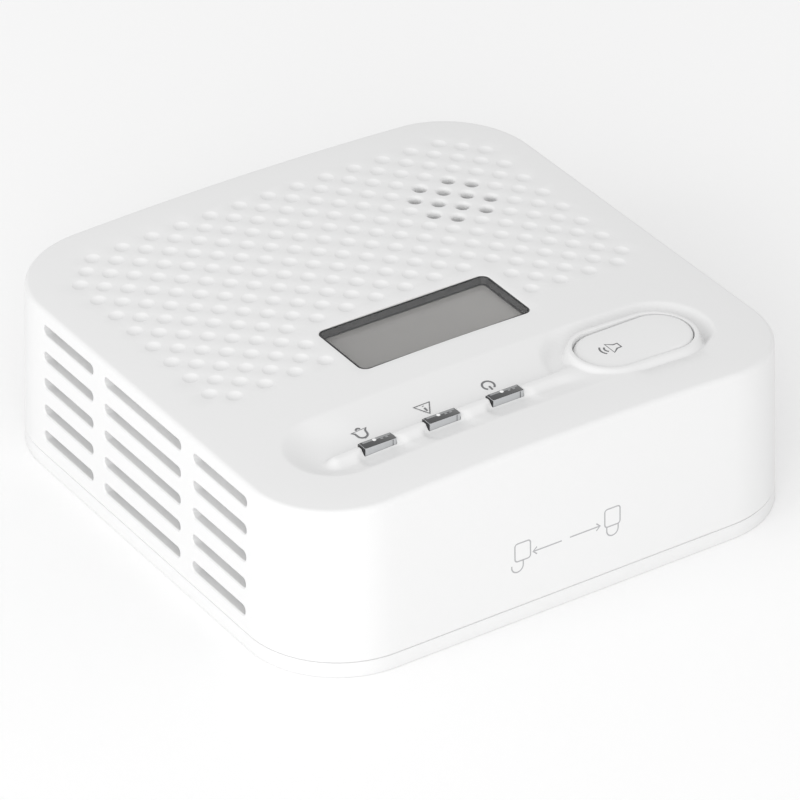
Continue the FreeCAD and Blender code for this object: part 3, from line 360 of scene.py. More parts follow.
class FaceForm:
    """Heights of the casing's face, outside and inside, in millimetres."""

    def __init__(self, sizes):
        for name in CasingSettings.__annotations__:
            value = getattr(sizes, name)
            setattr(self, name, value if name == "draft" else value / MM)
        self.button = centre_mm("test_button")
        self.window = centre_mm("lcd_window")
        self.horn = centre_mm("dust_mesh")
        self.pipes = [centre_mm(f"light_pipe_{use}") for use in ("power", "fault", "alarm")]
        self.ridge_y = self.pipes[0].y
        self.window_half = (20.0, 8.5)
        self.pipe_slot_lip = 0.12
        self.net_half = 37.4

    def crown(self, x):
        return self.crest - self.crown_radius + math.sqrt(self.crown_radius ** 2 - x * x)

    def lean(self, z):
        return z * math.tan(self.draft)

    def off_dish(self, x, y):
        """Distance from the dish's edge, negative within it."""
        return off_line(x, y, 0.0, self.dish_middle, self.dish_half) - self.dish_radius

    def dish(self, x, y):
        """How deep the dish is here, before the ridge and the ring stand in it."""
        inside = -self.off_dish(x, y)
        crease = 0.5
        if inside <= -crease:
            return 0.0
        if inside < crease:
            inside = (inside + crease) ** 2 / (4 * crease)
        to_right, to_left = smooth((x - 30.0) / 12.0), smooth((-x - 16.0) / 12.0)
        round_end = smooth((self.button.x - x) / 7.0)
        above = smooth((y - self.ridge_y + 1.5 - 3.5 * round_end) / (3.0 + 2.5 * round_end))
        by_button = smooth((self.well_radius + 6.0 - self.off_button(x, y)) / 2.5) * (1.0 - above)
        by_pipe = smooth((6.0 - min(abs(x - pipe.x) for pipe in self.pipes)) / 2.0) * above
        slope = 0.20 + 0.06 * above + 0.20 * to_right + 0.30 * to_left
        slope += 0.65 * by_button + 0.22 * by_pipe
        steep = slope * inside / self.dish_depth
        depth = self.dish_depth * steep / (1.0 + steep ** 4) ** 0.25
        fade = smooth((x + 22.0) / 13.0)
        return depth * (1.0 - above * (1.0 - fade))

    def off_button(self, x, y):
        return off_line(x, y, self.button.x, self.button.y, self.well_half)

    def ring(self, x, y):
        """One on the ring round the button, none away from it."""
        return smooth((self.well_radius + 2.05 - self.off_button(x, y)) / 1.35)

    def foot(self, x, y):
        """Depth of the fine groove that runs along the ring's foot, but not where the ridge starts."""
        across = abs(self.off_button(x, y) - self.well_radius - 2.2) / 0.7
        return self.foot_groove * smooth(1.0 - across) * smooth((self.button.x + 7.0 - x) / 4.0)

    def ridge(self, x, y):
        """One on the ridge's line, none away from it; narrow beside each indicator."""
        left = self.button.x + self.well_half + self.well_radius
        middle, half = (left + self.ridge_tip) / 2, (self.ridge_tip - left) / 2
        away = off_line(x, y, middle, self.ridge_y, half)
        width = 2.7 + 3.2 * smooth((-9.0 - x) / 9.0)
        near = min(abs(x - pipe.x) for pipe in self.pipes)
        width -= 1.0 * (1.0 - smooth((near - 4.0) / 1.6)) * (1.0 if y > self.ridge_y else 0.0)
        return smooth((width - away) / (width - 0.4))

    def outside(self, x, y):
        ring, ridge = self.ring(x, y), self.ridge(x, y)
        bare = (1.0 - ring) * (1.0 - ridge)
        drop = self.dish(x, y) * bare
        if self.off_dish(x, y) < 0.0:
            drop += self.ridge_drop * ridge * (1.0 - ring)
        return self.crown(x) - drop + self.ring_rise * ring - self.foot(x, y)

    def inside(self, x, y):
        backing = smooth((1.8 - self.off_dish(x, y)) / 3.0)
        half_x, half_y = self.window_half
        seat = 1.0 - smooth((outside_box(x, y, self.window.x, self.window.y, half_x, half_y) - 2.2) / 1.5)
        return self.crown(x) - self.wall - self.dish_depth * backing + 0.35 * seat

    def outline(self, inset):
        half = self.half_width - inset
        return rounded(0.0, 0.0, half, half, self.corner - inset, arc=20, pitch=5.0)

    def dimples(self):
        """Places on the diagonal lattice: the blind dimples, and the pierced ones over the horn."""
        blind, pierced = [], []
        for row in range(18):
            columns = 13 if row == 0 else 15 - row % 2
            y = self.field_bottom + row * self.dimple_pitch / 2
            for column in range(columns):
                x = self.field_middle + (column - (columns - 1) / 2) * self.dimple_pitch
                if math.hypot(x - self.horn.x, y - self.horn.y) < 1.2 * self.dimple_pitch:
                    pierced.append((x, y))
                elif row < 14 or abs(x) > self.window_half[0] + self.dimple_radius:
                    blind.append((x, y))
        return blind, pierced


class Skin:
    """A mesh that is built from nets, rings and the bands between them, in millimetres."""

    def __init__(self, name):
        self.name = name
        self.mesh = bmesh.new()

    def vertex(self, x, y, z):
        return self.mesh.verts.new((x * MM, y * MM, z * MM))

    def ring(self, outline, height):
        return [self.vertex(x, y, height(x, y)) for x, y in outline]

    def band(self, first, second):
        for index, corner in enumerate(first):
            after = (index + 1) % len(first)
            self.mesh.faces.new((corner, first[after], second[after], second[index]))

    def fan(self, ring, centre):
        for index, corner in enumerate(ring):
            self.mesh.faces.new((corner, ring[(index + 1) % len(ring)], centre))

    def net(self, loops, loose, height):
        """Triangles within the first loop and outside the others; gives each loop's vertices."""
        places, faces = [], []
        for loop in loops:
            faces.append(list(range(len(places), len(places) + len(loop))))
            places += loop
        places += loose
        flat = geometry.delaunay_2d_cdt([Vector(place) for place in places], [], faces, 1, 1e-5)
        spots, triangles, sources, owners = flat[0], flat[2], flat[3], flat[5]
        made = {}
        for triangle, owner in zip(triangles, owners):
            if list(owner) != [0]:
                continue
            for index in triangle:
                if index not in made:
                    x, y = spots[index]
                    made[index] = self.vertex(x, y, height(x, y))
            self.mesh.faces.new([made[index] for index in triangle])
        where = {source: index for index, group in enumerate(sources) for source in group}
        return [[made[where[source]] for source in face] for face in faces]

    def finish(self):
        bmesh.ops.recalc_face_normals(self.mesh, faces=self.mesh.faces)
        mesh = bpy.data.meshes.new(self.name)
        self.mesh.to_mesh(mesh)
        self.mesh.free()
        piece = bpy.data.objects.new(self.name, mesh)
        bpy.context.scene.collection.objects.link(piece)
        return piece


def grid(low_x, high_x, low_y, high_y, step_x, step_y, test):
    """Even points of a rectangle that pass a test, every other row shifted by half a step."""
    points = []
    for row in range(int((high_y - low_y) / step_y) + 1):
        shift = 0.5 * step_x * (row % 2)
        for column in range(int((high_x - low_x) / step_x) + 1):
            x, y = low_x + shift + column * step_x, low_y + row * step_y
            if x <= high_x and test(x, y):
                points.append((x, y))
    return points


def casing_skin(form):
    """The hollow moulding with its crown, dimples, dish, ridge, ring and openings."""
    skin = Skin("front_casing_moulding")
    blind, pierced = form.dimples()
    centres = kdtree.KDTree(len(blind) + len(pierced))
    for index, (x, y) in enumerate(blind + pierced):
        centres.insert((x, y, 0.0), index)
    centres.balance()

    window = (form.window.x, form.window.y, *form.window_half, 1.8)
    well = (form.button.x, form.button.y, form.well_half + form.well_radius, *2 * (form.well_radius,))
    slots = [(pipe.x, pipe.y, 3.8, 1.3, 0.3) for pipe in form.pipes]
    mouths = [(window, form.lip, 8, 1.0), (well, form.lip / 2, 18, 0.8)]
    mouths += [(slot, form.pipe_slot_lip, 4, 0.6) for slot in slots]
    mouths += [((x, y, *3 * (form.hole_radius,)), None, 5, 1.0) for x, y in pierced]
    lip_profile = ((1.0, 0.0), (0.5, 0.13), (0.13, 0.5), (0.0, 1.0))
    pierced_profile = ((0.75, 0.0), (0.52, 0.05), (0.34, 0.15), (0.16, 0.34), (0.0, 0.62))
    dimple_edge = 1.12
    dimple_profile = ((1.04, 0.05), (0.96, 0.19), (0.83, 0.41), (0.61, 0.70), (0.33, 0.91))

    def profile_of(lip):
        return pierced_profile if lip is None else tuple((lip * out, lip * down) for out, down in lip_profile)

    def clear_of_openings(x, y, margin):
        near = centres.find((x, y, 0.0))[2]
        return (near > dimple_edge * form.dimple_radius + margin
                and outside_box(x, y, *window[:4]) > margin + form.lip
                and form.off_button(x, y) > form.well_radius + margin + form.lip
                and all(outside_box(x, y, *slot[:4]) > form.pipe_slot_lip + margin for slot in slots))

    def on_ridge(x, y):
        return (-19.0 < x < form.ridge_tip + 4.0 and abs(y - form.ridge_y) < 4.2
                and form.off_button(x, y) > form.well_radius + 2.6)

    def in_ring_zone(x, y):
        return form.off_button(x, y) < form.well_radius + 2.75

    loose = []
    for step in range(2, 10):
        loose += rounded(*well, grow=0.28 * step, arc=22, pitch=0.8)
    loose += grid(-18.8, form.ridge_tip + 3.8, form.ridge_y - 4.0, form.ridge_y + 4.0, 0.55, 0.29,
                  lambda x, y: on_ridge(x, y) and not in_ring_zone(x, y) and clear_of_openings(x, y, 0.16)
                  and form.off_dish(x, y) < -0.3)
    for step in range(-2, 3):
        crease = rounded(0.0, form.dish_middle, form.dish_half + form.dish_radius, form.dish_radius,
                         form.dish_radius, grow=0.3 * step, arc=26, pitch=0.9)
        loose += [(x, y) for x, y in crease if not in_ring_zone(x, y)]
    loose += grid(-49.0, 49.0, form.dish_middle - 10.2, form.dish_middle + 10.2, 0.9, 0.8,
                  lambda x, y: form.off_dish(x, y) < -0.85 and not on_ridge(x, y) and not in_ring_zone(x, y))
    loose += grid(-54.0, 54.0, -54.0, 54.0, 3.6, 3.1,
                  lambda x, y: form.off_dish(x, y) > 1.2 and clear_of_openings(x, y, 1.2)
                  and not in_ring_zone(x, y)
                  and outside_box(x, y, 0.0, 0.0, form.net_half, form.net_half) < 17.5)

    top_inset = form.lean(form.crest - form.rim_round) + form.rim_round
    loops = [form.outline(top_inset)]
    loops += [rounded(*mouth, grow=profile_of(lip)[0][0], arc=arc, pitch=pitch)
              for mouth, lip, arc, pitch in mouths]
    edge = dimple_edge * form.dimple_radius
    loops += [rounded(x, y, edge, edge, edge, arc=5) for x, y in blind]
    rings = skin.net(loops, loose, form.outside)

    mouth_ends = []
    for (mouth, lip, arc, pitch), ring in zip(mouths, rings[1:]):
        for out, down in profile_of(lip)[1:]:
            lower = skin.ring(rounded(*mouth, grow=out, arc=arc, pitch=pitch),
                              lambda x, y, down=down: form.outside(x, y) - down)
            skin.band(ring, lower)
            ring = lower
        mouth_ends.append(ring)
    for (x, y), ring in zip(blind, rings[1 + len(mouths):]):
        for out, down in dimple_profile:
            radius, depth = out * form.dimple_radius, down * form.dimple_depth
            lower = skin.ring(rounded(x, y, radius, radius, radius, arc=5),
                              lambda u, v, depth=depth: form.crown(u) - depth)
            skin.band(ring, lower)
            ring = lower
        skin.fan(ring, skin.vertex(x, y, form.crown(x) - form.dimple_depth))

    rim = rings[0]
    top_heights = [corner.co.z / MM for corner in rim]
    for step in range(5, -1, -1):
        angle = QUARTER * step / 6
        out = form.rim_round * (1.0 - math.cos(angle))
        down = form.rim_round * (1.0 - math.sin(angle))
        outline = form.outline(form.lean(form.crest - form.rim_round) + out)
        lower = [skin.vertex(x, y, top - down) for (x, y), top in zip(outline, top_heights)]
        skin.band(rim, lower)
        rim = lower
    for height in (24.0, 12.0, form.skirt + 0.2, form.skirt):
        inset = form.lean(height) + (0.2 if height == form.skirt else 0.0)
        lower = skin.ring(form.outline(inset), lambda x, y, height=height: height)
        skin.band(rim, lower)
        rim = lower
    for height in (form.skirt, 20.0, 35.0):
        upper = skin.ring(form.outline(form.lean(height) + form.wall), lambda x, y, height=height: height)
        skin.band(rim, upper)
        rim = upper

    inner_loops = [form.outline(form.lean(35.0) + form.wall)]
    inner_loops += [rounded(*mouth, arc=arc, pitch=pitch) for mouth, lip, arc, pitch in mouths]
    inner = grid(-54.0, 54.0, -54.0, 54.0, 2.4, 2.1,
                 lambda x, y: outside_box(x, y, 0.0, 0.0, form.net_half, form.net_half) < 17.5
                 and outside_box(x, y, *window[:4]) > 0.8
                 and form.off_button(x, y) > form.well_radius + 0.8
                 and all(outside_box(x, y, *slot[:4]) > 0.5 for slot in slots)
                 and all(math.hypot(x - u, y - v) > form.hole_radius + 0.6 for u, v in pierced))
    inner_rings = skin.net(inner_loops, inner, form.inside)
    skin.band(rim, inner_rings[0])
    for ring, inner_ring in zip(mouth_ends, inner_rings[1:]):
        skin.band(ring, inner_ring)
    return skin.finish()


def slot_cutter(form, near, far):
    """One side slot's cutter: a round-ended bar that flares where it leaves the wall."""
    half = form.slot_height / 2
    surface = form.half_width - form.lean(form.slot_first)
    cutter = tablet("slot_cutter", (-half, near, -10.0), (half, far, -0.22), half * 0.998, 6)
    bpy.ops.object.mode_set(mode="EDIT")
    pick(cutter, "FACE", lambda face: face.normal.z > 0.9)
    long_side = far - near
    bpy.ops.mesh.extrude_region_move(TRANSFORM_OT_translate={"value": (0, 0, 0.25 * MM)})
    flare = 0.4
    bpy.ops.transform.resize(value=(1.0 + flare / form.slot_height, 1.0 + flare / long_side, 1.0))
    bpy.ops.mesh.extrude_region_move(TRANSFORM_OT_translate={"value": (0, 0, 3.0 * MM)})
    bpy.ops.object.mode_set(mode="OBJECT")
    turn_piece(cutter, QUARTER, "Y")
    cutter.data.transform(Matrix.Translation((surface * MM, 0.0, form.slot_first * MM)))
    return cutter


def cut_slots_and_bores(casing, form):
    """Adds the screw bosses inside, then cuts the side slots and the bosses' bores."""
    case_screw, board_screw = (11.7, 3.4, 1.5), (23.8, 2.6, 1.15)
    screws = [(sx * 48.5, sy * 48.5, *case_screw) for sx in (-1, 1) for sy in (-1, 1)]
    screws += [(sx * 47.0, y, *board_screw) for sx in (-1, 1) for y in (15.0, -38.0)]
    bosses, cutters = [], []
    for x, y, foot, radius, bore in screws:
        head = form.crown(x) - form.wall / 2
        end = foot + 10.0 if foot == case_screw[0] else head - 4.0
        bosses.append(turned("boss", x, y, ((radius, foot), (radius, head)), 32))
        cutters.append(turned("bore", x, y, ((bore, foot - 1.0), (bore, end)), 20))
    for near, far in ((-37.5, -18.4), (-14.3, 14.3), (18.6, 38.0)):
        first = slot_cutter(form, near, far)
        for row in range(5):
            rise = row * form.slot_pitch
            move = Matrix.Translation((-form.lean(rise) * MM, 0.0, rise * MM))
            for side in (1, -1):
                cutter = bpy.data.objects.new("slot", first.data.copy())
                bpy.context.scene.collection.objects.link(cutter)
                cutter.data.transform(move)
                if side < 0:
                    turn_piece(cutter, math.pi, "Z", (0.0, (near + far) / 2, 0.0))
                cutters.append(cutter)
        bpy.data.objects.remove(first)
    for operation, tools in (("UNION", bosses), ("DIFFERENCE", cutters)):
        tool = merge(*tools)
        before = len(casing.data.polygons)
        modify(casing, "BOOLEAN", operation=operation, solver="MANIFOLD", object=tool)
        bpy.data.objects.remove(tool)
        if len(casing.data.polygons) <= before:
            raise RuntimeError(f"the casing's {operation.lower()} changed nothing")
    return casing


# ---- shader groups ----

def shader_group(name, inputs, outputs):
    group = bpy.data.node_groups.new(name, "ShaderNodeTree")
    for label, kind, value in inputs:
        socket = group.interface.new_socket(name=label, in_out="INPUT", socket_type=kind)
        if value is not None:
            socket.default_value = value
    for label, kind in outputs:
        group.interface.new_socket(name=label, in_out="OUTPUT", socket_type=kind)
    nodes = group.nodes
    return group, nodes.new("NodeGroupInput"), nodes.new("NodeGroupOutput")


def math_node(tree, operation, first, second):
    node = tree.nodes.new("ShaderNodeMath")
    node.operation = operation
    for socket, value in zip(node.inputs, (first, second)):
        if isinstance(value, (int, float)):
            socket.default_value = value
        else:
            tree.links.new(value, socket)
    return node.outputs["Value"]


def noise_node(tree, position, scale, detail=3.0):
    node = tree.nodes.new("ShaderNodeTexNoise")
    node.inputs["Detail"].default_value = detail
    tree.links.new(position, node.inputs["Vector"])
    if isinstance(scale, (int, float)):
        node.inputs["Scale"].default_value = scale
    else:
        tree.links.new(scale, node.inputs["Scale"])
    return node.outputs["Fac"]


def mix_colour(tree, factor, first, second, blend="MIX"):
    node = tree.nodes.new("ShaderNodeMix")
    node.data_type = "RGBA"
    node.blend_type = blend
    sockets = (node.inputs["Factor"], node.inputs[6], node.inputs[7])
    for socket, value in zip(sockets, (factor, first, second)):
        if isinstance(value, bpy.types.NodeSocket):
            tree.links.new(value, socket)
        else:
            socket.default_value = value
    return node.outputs[2]


def grain_group():
    """Moulded or blasted grain: a roughness that varies and a height for the bump."""
    group, given, made = shader_group(
        "Moulded grain",
        (("Position", "NodeSocketVector", None), ("Scale", "NodeSocketFloat", 2000.0),
         ("Roughness", "NodeSocketFloat", 0.4), ("Spread", "NodeSocketFloat", 0.08)),
        (("Roughness", "NodeSocketFloat"), ("Height", "NodeSocketFloat")))
    fine = noise_node(group, given.outputs["Position"], given.outputs["Scale"], 2.0)
    broad = noise_node(group, given.outputs["Position"], 55.0, 4.0)
    swing = math_node(group, "MULTIPLY", math_node(group, "SUBTRACT", broad, 0.5), given.outputs["Spread"])
    group.links.new(math_node(group, "ADD", given.outputs["Roughness"], swing), made.inputs["Roughness"])
    group.links.new(fine, made.inputs["Height"])
    return group


def tone_group():
    """Slow drift of tone over a surface."""
    group, given, made = shader_group(
        "Tone drift",
        (("Position", "NodeSocketVector", None), ("Colour", "NodeSocketColor", (0.8, 0.8, 0.8, 1.0)),
         ("Scale", "NodeSocketFloat", 40.0), ("Amount", "NodeSocketFloat", 0.03)),
        (("Colour", "NodeSocketColor"),))
    broad = noise_node(group, given.outputs["Position"], given.outputs["Scale"], 4.0)
    shadeful = mix_colour(group, 1.0, given.outputs["Colour"], (0.78, 0.78, 0.77, 1.0), "MULTIPLY")
    factor = math_node(group, "MULTIPLY", broad, given.outputs["Amount"])
    group.links.new(mix_colour(group, factor, given.outputs["Colour"], shadeful), made.inputs["Colour"])
    return group


def wear_group():
    """Bare or polished colour along edges, broken up by noise."""
    group, given, made = shader_group(
        "Edge wear",
        (("Position", "NodeSocketVector", None), ("Colour", "NodeSocketColor", (0.5, 0.5, 0.5, 1.0)),
         ("Worn colour", "NodeSocketColor", (0.8, 0.8, 0.8, 1.0)), ("Amount", "NodeSocketFloat", 0.3)),
        (("Colour", "NodeSocketColor"),))
    geometry_node = group.nodes.new("ShaderNodeNewGeometry")
    bulge = math_node(group, "SUBTRACT", geometry_node.outputs["Pointiness"], 0.5)
    edge = math_node(group, "MULTIPLY", bulge, 9.0)
    broken = math_node(group, "MULTIPLY", edge, noise_node(group, given.outputs["Position"], 900.0))
    factor = math_node(group, "MULTIPLY", broken, given.outputs["Amount"])
    clamped = math_node(group, "MINIMUM", math_node(group, "MAXIMUM", factor, 0.0), 1.0)
    group.links.new(mix_colour(group, clamped, given.outputs["Colour"], given.outputs["Worn colour"]),
                    made.inputs["Colour"])
    return group


GROUPS = {}
FINISHES = {}


def place_group(tree, name, position, **values):
    node = tree.nodes.new("ShaderNodeGroup")
    node.node_tree = GROUPS[name]
    tree.links.new(position, node.inputs["Position"])
    for label, value in values.items():
        socket = node.inputs[label.replace("_", " ")]
        if isinstance(value, bpy.types.NodeSocket):
            tree.links.new(value, socket)
        else:
            socket.default_value = value
    return node


def finish(name, base, roughness, spread=0.06, grain=2600.0, depth=0.02, drift=0.05, drift_scale=40.0,
           worn=None, paint=None, **surface):
    """A material from the shared groups; surface values go straight on the shader's own sockets."""
    material = bpy.data.materials.new(name)
    material.use_nodes = True
    tree = material.node_tree
    shader = tree.nodes["Principled BSDF"]
    position = tree.nodes.new("ShaderNodeTexCoord").outputs["Object"]
    tone = (*base, 1.0) if paint is None else paint(tree, position)
    tone = place_group(tree, "Tone drift", position, Colour=tone, Scale=drift_scale,
                       Amount=drift).outputs["Colour"]
    if worn is not None:
        tone = place_group(tree, "Edge wear", position, Colour=tone, Worn_colour=(*worn, 1.0),
                           Amount=0.5).outputs["Colour"]
    tree.links.new(tone, shader.inputs["Base Color"])
    moulded = place_group(tree, "Moulded grain", position, Scale=grain, Roughness=roughness, Spread=spread)
    tree.links.new(moulded.outputs["Roughness"], shader.inputs["Roughness"])
    if depth:
        bump = tree.nodes.new("ShaderNodeBump")
        bump.inputs["Strength"].default_value = 0.35
        bump.inputs["Distance"].default_value = depth * MM
        tree.links.new(moulded.outputs["Height"], bump.inputs["Height"])
        tree.links.new(bump.outputs["Normal"], shader.inputs["Normal"])
    for label, value in surface.items():
        shader.inputs[label.replace("_", " ")].default_value = value
    material.diffuse_color = (*base, 1.0)
    FINISHES[name] = material


def axis_of(tree, position, axis):
    node = tree.nodes.new("ShaderNodeSeparateXYZ")
    tree.links.new(position, node.inputs["Vector"])
    return node.outputs[axis]


def step_node(tree, value, threshold, softness=0.0001):
    """None below the threshold, one above it."""
    node = tree.nodes.new("ShaderNodeMapRange")
    node.inputs["From Min"].default_value = threshold - softness
    node.inputs["From Max"].default_value = threshold + softness
    tree.links.new(value, node.inputs["Value"])
    return node.outputs["Result"]


def display_paint(tree, position):
    """The display's warm grey, a little darker towards one end."""
    settings = bpy.context.scene.detector.finish
    across = step_node(tree, axis_of(tree, position, "X"), 0.0, 0.022)
    base = tuple(settings.display)
    dim = tuple(0.80 * part for part in base)
    return mix_colour(tree, across, (*base, 1.0), (*dim, 1.0))


def board_paint(tree, position):
    """Solder mask over copper tracks and small pads."""
    bricks = tree.nodes.new("ShaderNodeTexBrick")
    bricks.inputs["Scale"].default_value = 260.0
    bricks.inputs["Mortar Size"].default_value = 0.03
    bricks.inputs["Color1"].default_value = (0.012, 0.115, 0.045, 1.0)
    bricks.inputs["Color2"].default_value = (0.010, 0.095, 0.038, 1.0)
    bricks.inputs["Mortar"].default_value = (0.03, 0.20, 0.08, 1.0)
    tree.links.new(position, bricks.inputs["Vector"])
    dots = tree.nodes.new("ShaderNodeTexVoronoi")
    dots.inputs["Scale"].default_value = 210.0
    tree.links.new(position, dots.inputs["Vector"])
    pads = math_node(tree, "LESS_THAN", dots.outputs["Distance"], 0.16)
    return mix_colour(tree, pads, bricks.outputs["Color"], (0.55, 0.52, 0.45, 1.0))


def sleeve_paint(tree, position):
    """A two-tone wrap: a coppery band at one end of each cell and black over the rest."""
    band = step_node(tree, axis_of(tree, position, "Y"), -0.004)
    return mix_colour(tree, band, (0.020, 0.021, 0.024, 1.0), (0.36, 0.15, 0.05, 1.0))


def weave_paint(tree, position):
    """Crossed wires of the fine mesh behind the horn's holes."""
    waves = []
    for axis in ("X", "Y"):
        along = math_node(tree, "MULTIPLY", axis_of(tree, position, axis), 2 * math.pi / (0.32 * MM))
        waves.append(math_node(tree, "ABSOLUTE", math_node(tree, "SINE", along, 0.0), 0.0))
    wire = math_node(tree, "MAXIMUM", waves[0], waves[1])
    return mix_colour(tree, wire, (0.01, 0.01, 0.01, 1.0), (0.22, 0.22, 0.23, 1.0))


def smoke_and_painted_light(tree, position):
    """Smoky plastic with painted light: the upright faces are painted pale grey, as where the light comes
    through.
    """
    settings = bpy.context.scene.detector.finish
    facing = tree.nodes.new("ShaderNodeNewGeometry")
    split = tree.nodes.new("ShaderNodeSeparateXYZ")
    tree.links.new(facing.outputs["True Normal"], split.inputs["Vector"])
    # Painted light: faces that stand upright take a pale grey instead of the smoke.
    upright = math_node(tree, "LESS_THAN", split.outputs["Z"], 0.5)
    return mix_colour(tree, upright, (*settings.smoke, 1.0), (0.50, 0.51, 0.52, 1.0))


def make_finishes():
    """Every finish of the detector, by the frame's slot names."""
    settings = bpy.context.scene.detector.finish
    GROUPS["Moulded grain"] = grain_group()
    GROUPS["Tone drift"] = tone_group()
    GROUPS["Edge wear"] = wear_group()
    white, matt = tuple(settings.plastic), settings.plastic_roughness
    grain = settings.grain
    for name in ("casing_white", "plate_white", "rear_white", "door_white", "baffle_white", "frame_white"):
        finish(name, white, matt, grain=grain, depth=0.03, drift=0.05)
    finish("button_white", white, matt - 0.06, grain=grain, depth=0.015, drift=0.04)
    finish("window_clear", (1.0, 1.0, 1.0), 0.03, spread=0.01, depth=0.0, drift=0.0, Alpha=0.06)
    finish("pipe_clear", tuple(settings.smoke), 0.10, spread=0.04, depth=0.0, drift=0.1, paint=smoke_and_painted_light,
           Coat_Weight=0.6, Coat_Roughness=0.03)
    finish("display_black", (0.012, 0.012, 0.013), 0.32, depth=0.01, drift=0.2)
    finish("display_glass", tuple(settings.display), 0.20, spread=0.05, depth=0.0, drift=0.22,
           drift_scale=70.0, paint=display_paint)
    finish("strip_rubber", (0.45, 0.16, 0.13), 0.6, drift=0.2)
    finish("led_clear", (0.75, 0.78, 0.76), 0.12, depth=0.0, drift=0.05, Transmission_Weight=0.6, IOR=1.5)
    finish("board_green", (0.012, 0.11, 0.045), 0.28, depth=0.01, drift=0.2, paint=board_paint)
    finish("switch_black", (0.02, 0.02, 0.02), 0.4, drift=0.2)
    finish("plunger_black", (0.03, 0.03, 0.03), 0.45, drift=0.2)
    finish("horn_black", (0.022, 0.022, 0.024), 0.38, drift=0.3, depth=0.03)
    finish("disc_brass", (0.72, 0.50, 0.22), 0.3, drift=0.3, drift_scale=120.0, Metallic=1.0)
    finish("mesh_steel", (0.2, 0.2, 0.2), 0.4, depth=0.0, drift=0.2, paint=weave_paint, Metallic=0.7)
    finish("sensor_can", (0.62, 0.62, 0.60), 0.26, drift=0.3, depth=0.01, worn=(0.85, 0.85, 0.83),
           Metallic=1.0)
    finish("sensor_cap", (0.10, 0.22, 0.45), 0.4, drift=0.2)
    finish("chip_black", (0.018, 0.018, 0.019), 0.5, drift=0.2, depth=0.02)
    finish("coil_dark", (0.045, 0.036, 0.03), 0.45, drift=0.5, drift_scale=300.0, depth=0.05)
    finish("capacitor_sleeve", (0.02, 0.03, 0.10), 0.28, drift=0.2)
    finish("screw_zinc", (0.60, 0.60, 0.58), 0.3, drift=0.3, drift_scale=200.0, worn=(0.85, 0.85, 0.85),
           Metallic=1.0)
    finish("contact_nickel", (0.70, 0.69, 0.66), 0.22, drift=0.3, drift_scale=160.0, worn=(0.9, 0.9, 0.88),
           Metallic=1.0)
    finish("cell_sleeve", (0.02, 0.02, 0.024), 0.22, spread=0.05, depth=0.005, drift=0.1, paint=sleeve_paint,
           Coat_Weight=0.3, Coat_Roughness=0.08)
    finish("cell_steel", (0.66, 0.66, 0.65), 0.25, drift=0.3, drift_scale=200.0, Metallic=1.0)
    finish("lead_sleeve", (0.35, 0.02, 0.02), 0.4, drift=0.2)
    finish("print_grey", tuple(settings.ink), 0.5, drift=0.1, depth=0.0)
    finish("print_pale", tuple(settings.pale_ink), 0.5, drift=0.1, depth=0.0)
    finish("pipe_inner", (0.30, 0.305, 0.31), 0.3, drift=0.2, depth=0.0)
    # White of the small dot on each light pipe: the LED die, painted as a bright glint.
    finish("lamp_white", (0.9, 0.9, 0.9), 0.2, drift=0.0, depth=0.0)


def coat(piece, name):
    """Gives every slot of a piece the named finish."""
    piece.data.materials.clear()
    piece.data.materials.append(FINISHES[name])
    return piece


# ---- printed signs ----

def arc_points(x, y, radius, begin, end, count=12):
    """Points on an arc, its angles in degrees."""
    points = []
    for step in range(count + 1):
        angle = math.radians(begin + (end - begin) * step / count)
        points.append((x + radius * math.cos(angle), y + radius * math.sin(angle)))
    return points


def sign(name, strokes, width, seat, ink="print_grey"):
    """Printed line work: thin flattened strokes, each a list of places and whether it closes."""
    curve = bpy.data.curves.new(name, "CURVE")
    curve.dimensions = "3D"
    curve.bevel_depth = width / 2 * MM
    curve.bevel_resolution = 1
    curve.use_fill_caps = True
    for places, closed in strokes:
        spline = curve.splines.new("POLY")
        spline.points.add(len(places) - 1)
        spline.use_cyclic_u = closed
        for point, (u, v) in zip(spline.points, places):
            point.co = (u * MM, v * MM, 0.0, 1.0)
    piece = bpy.data.objects.new(name, curve)
    bpy.context.scene.collection.objects.link(piece)
    only(piece)
    bpy.ops.object.convert(target="MESH")
    piece = bpy.context.active_object
    piece.name = piece.data.name = name
    modify(piece, "WELD", merge_threshold=0.001 * MM)
    for vertex in piece.data.vertices:
        vertex.co = seat(vertex.co.x / MM, vertex.co.y / MM, 0.12 * vertex.co.z / MM) * MM
    shade(piece)
    return coat(piece, ink)


def padlock(x, z, is_open):
    """A padlock that hangs upside down, as it is read from above the face."""
    body = rounded(x, z + 2.0, 1.8, 2.0, 0.6, arc=3, pitch=9.0)
    if is_open:
        hook = [(x - 0.1, z)] + arc_points(x + 1.25, z - 1.0, 1.35, 180, 375)
    else:
        hook = [(x - 1.35, z)] + arc_points(x, z - 0.9, 1.35, 180, 360) + [(x + 1.35, z)]
    return [(body, True), (hook, False)]


def arrow(start, end, z):
    back = 0.9 if end < start else -0.9
    shaft, head = [(start, z), (end, z)], [(end + back, z + 0.8), (end, z), (end + back, z - 0.8)]
    return [(shaft, False), (head, False)]


# ---- operators ----

class DETECTOR_OT_finishes(Operator):
    """Make the finishes and give them to every part of the frame"""
    bl_idname = "detector.finishes"
    bl_label = "Finishes"

    def execute(self, context):
        make_finishes()
        for node in frame["nodes"].values():
            slot_name = node.data.materials[0].name
            for slot in node.material_slots:
                slot.link = "OBJECT"
                slot.material = FINISHES[slot_name]
        return {"FINISHED"}


class DETECTOR_OT_front_casing(Operator):
    """Model the dimpled front casing"""
    bl_idname = "detector.front_casing"
    bl_label = "Front casing"

    def execute(self, context):
        form = FaceForm(context.scene.detector.casing)
        casing = cut_slots_and_bores(casing_skin(form), form)
        shade(casing)
        coat(stand_for(casing, "front_casing"), "casing_white")
        return {"FINISHED"}


